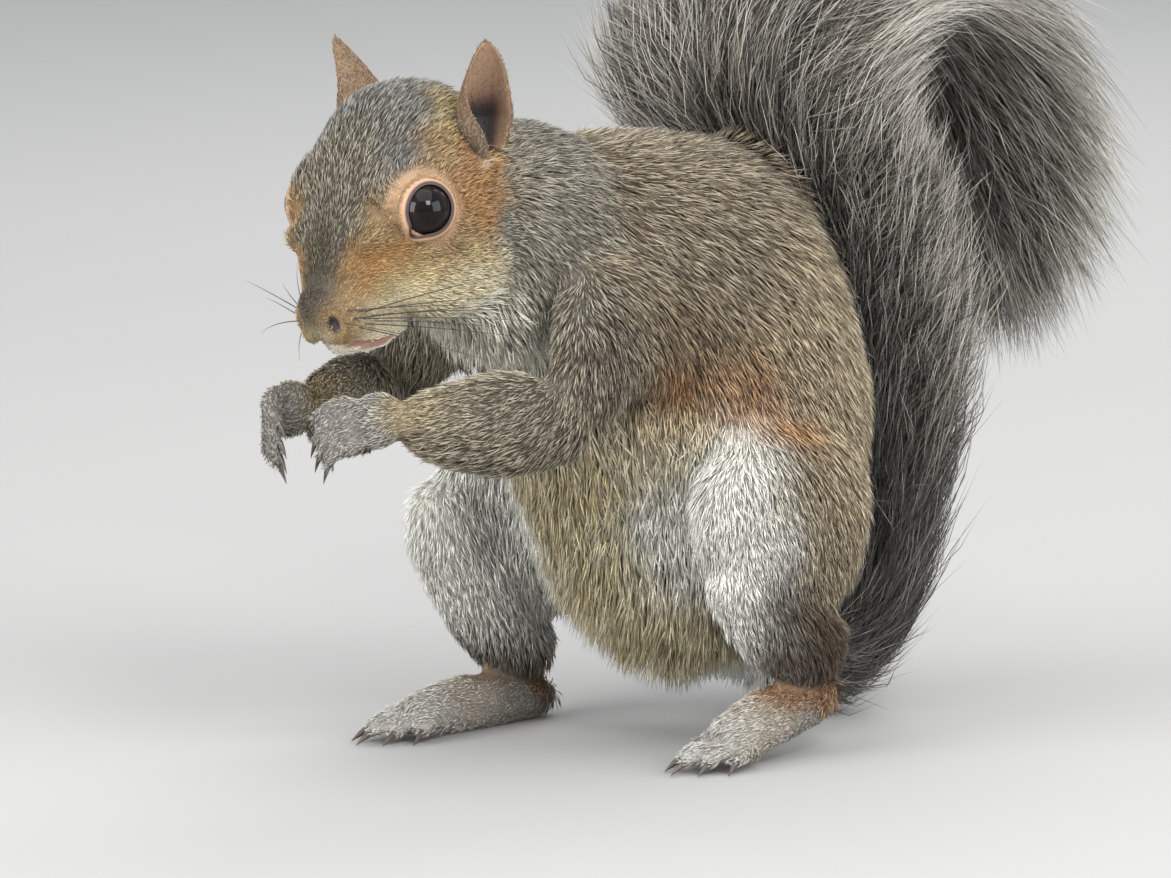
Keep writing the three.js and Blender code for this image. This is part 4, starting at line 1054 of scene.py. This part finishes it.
def hair_mesh(corners, stops, clearance):
    """Closed hairs as one mesh, from the corners of each: a point at the root, a three-cornered ring at
    each stop, and a point at the tip, all kept clear of the floor. Gives points, faces, how far along and
    round its hair each corner is, and one hair's faces."""
    points = np.stack(corners, 1)
    points[..., 2] = np.maximum(points[..., 2], clearance)
    count, rings = points.shape[1], len(stops)
    faces = [(0, 1 + (j + 1) % 3, 1 + j) for j in range(3)]
    for start in range(1, 3 * rings - 2, 3):
        for j in range(3):
            a, b = start + j, start + (j + 1) % 3
            faces += [(a, b, b + 3), (a, b + 3, a + 3)]
    last = count - 4
    faces += [(count - 1, last + j, last + (j + 1) % 3) for j in range(3)]
    faces = outward(points[0], np.array(faces))
    along = np.array([0.0] + [s for s, _ in stops for _ in range(3)] + [1.0])
    turn = np.array([0.5] + [j / 2 for _ in stops for j in range(3)] + [0.5])
    all_faces = (faces[None] + count * np.arange(len(points))[:, None, None]).reshape(-1, 3)
    return points.reshape(-1, 3), all_faces, along, turn, faces


def spindles(root, normal, lie, length, width, lift, sway, stops):
    """Tufts as closed spindles. At share s the middle stands out of the skin by length x sin(lift) x s (1.3
    - 0.3 s), runs along it by length x cos(lift) x s, and is swayed sideways by sway x length x s^2."""
    side = unit(np.cross(normal, lie))

    def middle(s):
        rise = length * (np.sin(lift) * s * (1.3 - 0.3 * s))
        run = length * (s * np.sqrt(np.maximum(1 - np.sin(lift) ** 2, 0.1)))
        return root + run[:, None] * lie + rise[:, None] * normal + (sway * length * s * s)[:, None] * side

    corners = [middle(0.0) - 0.25 * normal]
    for s, share in stops:
        for angle in (math.pi / 2, math.pi * 7 / 6, math.pi * 11 / 6):
            across = side * math.cos(angle) + normal * math.sin(angle) * TUFT_UP
            corners.append(middle(s) + across * (width * share / 2)[:, None])
    return hair_mesh(corners + [middle(1.0)], stops, 0.1)


def hair_piece(name, made, colours, place_uv, material, slot):
    """A piece of coat: its mesh, one colour for each corner, and each tuft's own small patch on the bake's
    map."""
    points, faces, along, turn, template = made
    mesh = mesh_of(name, points, faces)
    colour_mesh(mesh, "tint", colours.reshape(-1, 3))
    patch = np.stack([turn, along], 1)[template.ravel()] * PATCH
    uv = (place_uv[:, None] + patch[None]).reshape(-1, 2)
    mesh.uv_layers.new(name="OFBake").data.foreach_set("uv", uv.astype(np.float32).ravel())
    return piece_of(name, mesh, material, slot)


def unwrapped(root, normal):
    """Where each root lies on a six-sided unwrap of the skin: the side that its normal faces most gives one
    of 3 x 2 tiles, and its two other coordinates, scaled to the piece's size, the place in the tile."""
    axis = np.abs(normal).argmax(1)
    low, size = root.min(0), np.maximum(np.ptp(root, axis=0), 1)
    share = (root - low) / size
    rows = np.arange(len(root))
    flat = np.stack([share[rows, (axis + 1) % 3], share[rows, (axis + 2) % 3]], 1)
    tile = np.stack([axis, (normal[rows, axis] > 0).astype(int)], 1)
    return (tile + 0.02 + 0.93 * flat) / [3, 2]


def planted(faces, weight, count, rng):
    """Count roots spread evenly by weight over the triangles: the face of each, and its corners' shares."""
    face = np.searchsorted(np.cumsum(weight) / weight.sum(), (np.arange(count) + rng.random(count)) / count)
    face = np.minimum(face, len(faces) - 1)
    s, t = rng.random((2, count))
    flip = s + t > 1
    s, t = np.where(flip, 1 - s, s), np.where(flip, 1 - t, t)
    return face, np.stack([1 - s - t, s, t], 1)


def coat_finish(name, roughness):
    """The hair's own colour, broken up by fine grain, with a soft low gloss."""
    finish = Finish(name)
    grain = finish.noise(3800, 2, 0.6)
    return finish.surface(
        Base_Color=finish.tinted(grain * 0.6, (0.62, 0.6, 0.58)),
        Roughness=grain * 0.15 + roughness,
        Specular_IOR_Level=0.3,
        Sheen_Weight=0.12,
        Sheen_Roughness=0.5,
    )


coat_material = coat_finish("grizzled_hair", 0.5)
corner = skin_points[skin_faces]
face_area = np.linalg.norm(np.cross(corner[:, 1] - corner[:, 0], corner[:, 2] - corner[:, 0]), axis=1) / 2
face_part = skin_part[skin_faces[:, 0]]
face_x = corner[:, :, 0].mean(1)
face_hair = skin_fields[skin_faces, FIELDS["length"]].mean(1)
face_bare = bare[skin_faces].mean(1)
to_back = skin_normals[skin_faces[:, 0], 1] > -0.25
on_trunk, on_head = within(face_part, "trunk"), within(face_part, "head", "ear")

# Each piece of coat: which faces it grows on and how many tufts it has
GROUPS = {
    "coat_head_left": (on_head & (face_x > HEAD_PLACE[0]), 23000),
    "coat_head_right": (on_head & (face_x <= HEAD_PLACE[0]), 18500),
    "coat_neck": (within(face_part, "neck"), 13500),
    "coat_back_left": (on_trunk & (face_x > 0) & to_back, 20000),
    "coat_back_right": (on_trunk & (face_x <= 0) & to_back, 17500),
    "coat_belly": (on_trunk & ~to_back, 16500),
    "coat_arm_left": (within(face_part, "upper_arm_left", "forearm_left", "hand_left"), 14500),
    "coat_arm_right": (within(face_part, "upper_arm_right", "forearm_right", "hand_right"), 12000),
    "coat_leg_left": (within(face_part, "thigh_left", "shank_left", "foot_left"), 18500),
    "coat_leg_right": (within(face_part, "thigh_right", "shank_right", "foot_right"), 16500),
}
for number, (name, (mask, count)) in enumerate(GROUPS.items()):
    rng = np.random.default_rng(100 + number)
    weight = face_area * mask * (1 - face_bare) / np.clip(face_hair, 1.6, 9) ** 0.75
    face, share = planted(skin_faces, weight, count, rng)
    root, normal, fields = (
        np.einsum("nk,nk...->n...", share, values[skin_faces[face]])
        for values in (skin_points, skin_normals, skin_fields)
    )
    normal = unit(normal)
    lie = fields[:, FIELDS["lie"]]
    lie = unit(lie - (lie * normal).sum(1, keepdims=True) * normal)
    clump = ripple(root, 2.6, 31)
    length = fields[:, FIELDS["length"]] * rng.uniform(0.7, 1.15, count)
    angle = 0.16 * ripple(root, 11, 32) + 0.2 * clump + rng.normal(0, 0.16, count)
    angle += 0.35 * smoothstep(7.5, 10.5, length) * ripple(root, 7.5, 36)
    lie = lie * np.cos(angle)[:, None] + np.cross(normal, lie) * np.sin(angle)[:, None]
    lift = np.radians(8.5 + 0.75 * length + 3.5 * ripple(root, 3.4, 33)) * rng.uniform(0.6, 1.3, count)
    # Long hair under the belly hangs down
    lift += np.radians(50) * smoothstep(0.25, 0.9, -normal[:, 2]) * smoothstep(7, 10, length)
    width = np.minimum(0.13 + 0.036 * length, 0.46) * rng.uniform(0.75, 1.25, count)
    made = spindles(root, normal, lie, length, width, lift, rng.normal(0, 0.07, count), [(0.62, 1.0)])
    pale = rng.random(count) < fields[:, FIELDS["pale"]] * (1 + 0.5 * ripple(root, 2.2, 34))
    shaggy = smoothstep(7.5, 10.5, length) * ripple(root, 6.5, 35)
    bright = (rng.uniform(0.85, 1.15, count) * (1 + 0.1 * clump + 0.16 * shaggy))[:, None]
    under, middle, tip = (fields[:, FIELDS[k]] * bright for k in ("under", "middle", "tip"))
    band = np.where(pale[:, None], 0.6 * middle + 0.4 * tip, 0.25 * under + 0.75 * middle)
    end = np.where(pale[:, None], tip, 0.75 * under + 0.25 * middle)
    # The root takes the underfur's colour darkened to 0.8 of it: painted shade deep among the tufts.
    colours = np.stack([under * 0.8, band, band, band, end], 1)
    hair_piece(name, made, colours, unwrapped(root, normal), coat_material, "coat")


# ---------------------------------------------------------------------------------------------------------
# The tail's plume
# Long loose hair, dark with a whitish tip, that leaves the thin tail sideways and sweeps towards its end.

TAIL_HAIRS = 43000
HALF_SPREAD = 55.5  # mm, as far sideways as the tail's hair may reach
tail_hair_material = coat_finish("long_tail_hair", 0.42)


def along_tail(arc):
    """Middle, direction, across and above the tail, and its half width and thicknesses, at lengths along
    it."""
    u = np.interp(arc, TAIL_ARC, TAIL_SHARE)
    middle, slope = curve(TAIL_LINE, u)
    along = unit(slope)
    across = unit(np.array([1.0, 0, 0]) - along * along[:, :1])
    return middle, along, across, np.cross(along, across), curve(TAIL_GIRTH, u)[0]


TAIL_SHARE = np.linspace(0, 1, 600)
steps = np.linalg.norm(np.diff(curve(TAIL_LINE, TAIL_SHARE)[0], axis=0), axis=1)
TAIL_ARC = np.concatenate([[0], np.cumsum(steps)])
TAIL_LENGTH = TAIL_ARC[-1]
TAIL_COLOURS = ((200, 198, 190), (132, 128, 118), (46, 42, 37), (92, 80, 64))
tail_white, tail_grey, tail_dark, tail_brown = (linear(c) for c in TAIL_COLOURS)

rng = np.random.default_rng(77)
tip_arc = rng.uniform(14, TAIL_LENGTH * 0.999, TAIL_HAIRS * 2)
tip_arc = tip_arc[rng.random(len(tip_arc)) < (along_tail(tip_arc)[4][:, 0] + 12) / 66][:TAIL_HAIRS]
n = len(tip_arc)
edge = rng.uniform(-1, 1, n)
edge = np.sign(edge) * np.abs(edge) ** 0.8
height = rng.uniform(-1, 1, n)
height = np.sign(height) * np.abs(height) ** 0.6
lag = rng.uniform(16, 46, n) * (0.7 + 0.3 * np.abs(edge))
root_arc = np.clip(tip_arc - lag, 2, TAIL_LENGTH * 0.86)
tip_middle, tip_along, tip_across, tip_above, tip_girth = along_tail(tip_arc)
root_middle, root_along, root_across, root_above, _ = along_tail(root_arc)
in_tail = np.stack([tip_arc, edge * 40, height * 12], 1)
lock, curl = ripple(in_tail, 9, 41), ripple(in_tail, 13, 42)
narrow = np.where(tip_arc > TAIL_LENGTH - 25, 1 - 0.55 * ((tip_arc - TAIL_LENGTH + 25) / 25) ** 2, 1)
spread = edge * tip_girth[:, 0] * ((0.93 + 0.1 * rng.random(n) + 0.05 * lock) * narrow)
thick = np.where(height > 0, tip_girth[:, 1], tip_girth[:, 2]) * (1 - 0.72 * edge**2)
stand = height * thick * (0.9 + 0.12 * rng.random(n))
tip = tip_middle + tip_across * spread[:, None] + tip_above * stand[:, None]
swing = np.arctan2(height * 8, edge * 20)
core = np.interp(root_arc, [0, TAIL_LENGTH * 0.4, TAIL_LENGTH], [6.0, 5.2, 3.2])
radial = root_across * np.cos(swing)[:, None] + root_above * np.sin(swing)[:, None]
root = root_middle + radial * core[:, None]
reach = np.linalg.norm(tip - root, axis=1)
first = root + unit(radial * 0.75 + root_along * 0.75) * (0.38 * reach)[:, None]
second = tip - unit(tip_along * 0.9 + tip_across * (0.35 * edge)[:, None]) * (0.36 * reach)[:, None]
loose = np.where(rng.random(n) < 0.25, 2.0, 1.0)[:, None]  # one hair in four strays out of its lock
first += rng.normal(0, 1.1, (n, 3)) * loose
second += tip_above * (lock * 1.8)[:, None] + tip_across * (curl * 1.8)[:, None]
second += rng.normal(0, 1.6, (n, 3)) * loose
tip += tip_above * (curl * 1.2)[:, None] + rng.normal(0, 1.7, (n, 3)) * loose
tip[:, 0] = np.clip(tip[:, 0], -HALF_SPREAD, HALF_SPREAD)
furthest = [109.2, 176.5] - FRAME_SHIFT[1:]  # as far back and up as the hair may reach
tip[:, 1:], second[:, 1:] = np.minimum(tip[:, 1:], furthest), np.minimum(second[:, 1:], furthest)


def strands(root, first, second, tip, width, stops):
    """Closed strands along the cubic from root to tip that the two points between them pull on."""
    def place(s):
        return (1 - s) ** 3 * root + 3 * s * (1 - s) ** 2 * first + 3 * s * s * (1 - s) * second + s**3 * tip

    corners = [root]
    for s, share in stops:
        way = unit(place(s + 0.02) - place(s - 0.02))
        side = unit(np.cross(way, [0.31, 0.52, 0.79]))
        other = np.cross(way, side)
        for angle in (0, 2 * math.pi / 3, 4 * math.pi / 3):
            across = side * math.cos(angle) + other * math.sin(angle)
            corners.append(place(s) + across * (width * share / 2)[:, None])
    return hair_mesh(corners + [tip], stops, 0.15)


width = rng.uniform(0.15, 0.32, n)
low_part_in_shade = 1 - smoothstep(50, 110, tip_arc)  # the part behind the rump, which is darkest
curl_part = smoothstep(TAIL_LENGTH - 150, TAIL_LENGTH - 90, tip_arc)
white_share = 0.5 + 0.05 * smoothstep(0.6, 0.95, np.abs(edge)) + 0.25 * lock - 0.3 * low_part_in_shade
white = rng.random(n) < white_share
# The part behind the rump has fewer white tips, and is darkened by up to 0.45 as painted shade where the body
# shades it.
bright = (rng.uniform(0.85, 1.3, n) * (1 - 0.45 * low_part_in_shade) * (1 + 0.4 * curl_part))[:, None]
root_colour = tail_brown * bright
middle_colour = np.where((rng.random(n) < 0.55)[:, None], tail_dark, tail_grey * 0.8) * bright
late_colour = np.where(white[:, None], tail_grey * 1.25, tail_dark * 1.3) * bright
tip_colour = np.where(white[:, None], tail_white, tail_grey * 0.7) * bright
tail_colours = np.stack([root_colour] + [middle_colour] * 3 + [late_colour] * 3 + [tip_colour], 1)
tail_uv = np.stack([0.01 + 0.97 * root_arc / TAIL_LENGTH, 0.01 + 0.97 * (swing / (2 * np.pi) + 0.5)], 1)
for number in range(3):
    lines = (values[number::3] for values in (root, first, second, tip, width))
    hair_piece(
        "tail_plume_%d" % (number + 1),
        strands(*lines, [(0.34, 1.0), (0.7, 0.8)]),
        tail_colours[number::3],
        tail_uv[number::3],
        tail_hair_material,
        "tail_coat",
    )


# ---------------------------------------------------------------------------------------------------------
# The whiskers
# Long stiff dark hairs that fan out of the pad beside the nose: thin tapering tubes.

WHISKERS = [  # given for the left, in the head's frame: root, way, length
    ((8.6, -29, -6.5), (0.95, 0.35, 0.05), 34), ((9.6, -27, -7.5), (0.85, 0.55, 0.0), 40),
    ((9.2, -28.5, -8.5), (0.85, 0.5, -0.1), 38), ((10.2, -25.5, -8.0), (0.72, 0.72, -0.05), 42),
    ((9.9, -26.5, -9.5), (0.75, 0.65, -0.2), 40), ((10.4, -24.5, -9.6), (0.6, 0.8, -0.2), 38),
    ((9.6, -26, -11.0), (0.7, 0.66, -0.35), 34), ((10.2, -24, -11.2), (0.55, 0.8, -0.38), 32),
    ((9.0, -27.5, -11.4), (0.8, 0.45, -0.45), 28), ((8.3, -30.5, -9.0), (0.95, 0.15, -0.15), 26),
]
WHISKER_DROOP = np.array([0, 2.5, -3.5])  # mm at the tip, growing with the square of the way along
whisker_parts = []
rng = np.random.default_rng(21)
for _, sign in SIDES:
    for root_place, way, long in WHISKERS:
        heading = unit(np.array(way) + rng.normal(0, 0.05, 3))
        s = np.linspace(0, 1, 9)[:, None]
        line = np.array(root_place) - heading * 1.5 + heading * s * long * rng.uniform(0.85, 1.1)
        line = line + s**2 * WHISKER_DROOP
        girth = np.maximum(0.15 * (1 - 0.85 * s), 0.03) * [[1, 1, 1]]
        whisker_parts.append(set_in_head(form(line, girth, 24, 5, (0.1, 0.2)), sign))
whisker_finish = Finish("whisker_hair")
whisker_shade = whisker_finish.noise(300, 2)
whisker_material = whisker_finish.surface(
    Base_Color=whisker_finish.mix(whisker_shade, (0.012, 0.010, 0.008), (0.05, 0.04, 0.032)),
    Roughness=whisker_shade * 0.1 + 0.35,
)
piece_of("whiskers", mesh_of("whiskers", *gathered(whisker_parts)), whisker_material, "coat")


# ---------------------------------------------------------------------------------------------------------
# The studio
# A wide pale floor under large soft lights, seen from low in front of the squirrel's left side.

CAMERA_AZIMUTH, CAMERA_HEIGHT = math.radians(45), math.radians(8)
CAMERA_DISTANCE = 2200  # mm
VIEW_WIDTH = 249.1  # mm across the picture at that distance

AIM = (-11.81, 64.04)  # mm right and up from the body's own origin to the middle of the picture


def way_out(azimuth, height):
    """The way from the squirrel out to an azimuth, measured from its front to its left, and a height."""
    level = math.cos(height)
    return np.array([math.sin(azimuth) * level, -math.cos(azimuth) * level, math.sin(height)])


right = np.array([math.cos(CAMERA_AZIMUTH), math.sin(CAMERA_AZIMUTH), 0])
back = way_out(CAMERA_AZIMUTH, CAMERA_HEIGHT)
aim = AIM[0] * right + AIM[1] * np.cross(back, right)
camera_data = bpy.data.cameras.new("camera")
camera = bpy.data.objects.new("camera", camera_data)
bpy.context.scene.collection.objects.link(camera)
camera_data.sensor_width = 36
camera_data.lens = 36 * CAMERA_DISTANCE / VIEW_WIDTH
camera_data.clip_start, camera_data.clip_end = 0.1, 100
camera.location = (aim + back * CAMERA_DISTANCE + FRAME_SHIFT) * MM
camera.rotation_mode = "QUATERNION"
camera.rotation_quaternion = Vector(-back).to_track_quat("-Z", "Y")
bpy.context.scene.camera = camera

floor_finish = Finish("pale_floor")
floor_grain = floor_finish.noise(3, 3)
floor_material = floor_finish.surface(
    Base_Color=floor_finish.mix(floor_grain, (0.34, 0.337, 0.328), (0.36, 0.357, 0.348)),
    Roughness=0.85,
    Specular_IOR_Level=0.2,
)
floor_mesh = bpy.data.meshes.new("floor")
floor_mesh.from_pydata([(-12, -12, 0), (12, -12, 0), (12, 12, 0), (-12, 12, 0)], [], [(0, 1, 2, 3)])
floor_mesh.materials.append(floor_material)
floor = bpy.data.objects.new("floor", floor_mesh)
bpy.context.scene.collection.objects.link(floor)


def soft_light(name, azimuth, height, distance, size, power):
    """A square white light at an azimuth and height in degrees round the squirrel, facing it, with its
    distance and size in metres and its power in watts."""
    away = way_out(math.radians(azimuth), math.radians(height))
    data = bpy.data.lights.new(name, "AREA")
    data.size, data.energy = size, power
    light = bpy.data.objects.new(name, data)
    bpy.context.scene.collection.objects.link(light)
    light.location = away * distance + np.array([0, 0, 0.08])
    light.rotation_mode = "QUATERNION"
    light.rotation_quaternion = Vector(-away).to_track_quat("-Z", "Y")


soft_light("sky", 50, 68, 1.6, 1.6, 16)
soft_light("window", 64, 36, 1.5, 0.45, 12)
soft_light("side_window", 104, 16, 1.6, 1.2, 20)
soft_light("far_window", -8, 15, 1.6, 1.0, 30)
soft_light("back_window", 200, 40, 1.6, 1.0, 14)
world = bpy.data.worlds.new("room")
bpy.context.scene.world = world
world.use_nodes = True
world.node_tree.nodes["Background"].inputs[0].default_value = (0.93, 0.96, 1, 1)
world.node_tree.nodes["Background"].inputs[1].default_value = 0.8
bpy.context.scene.view_settings.view_transform = "Standard"
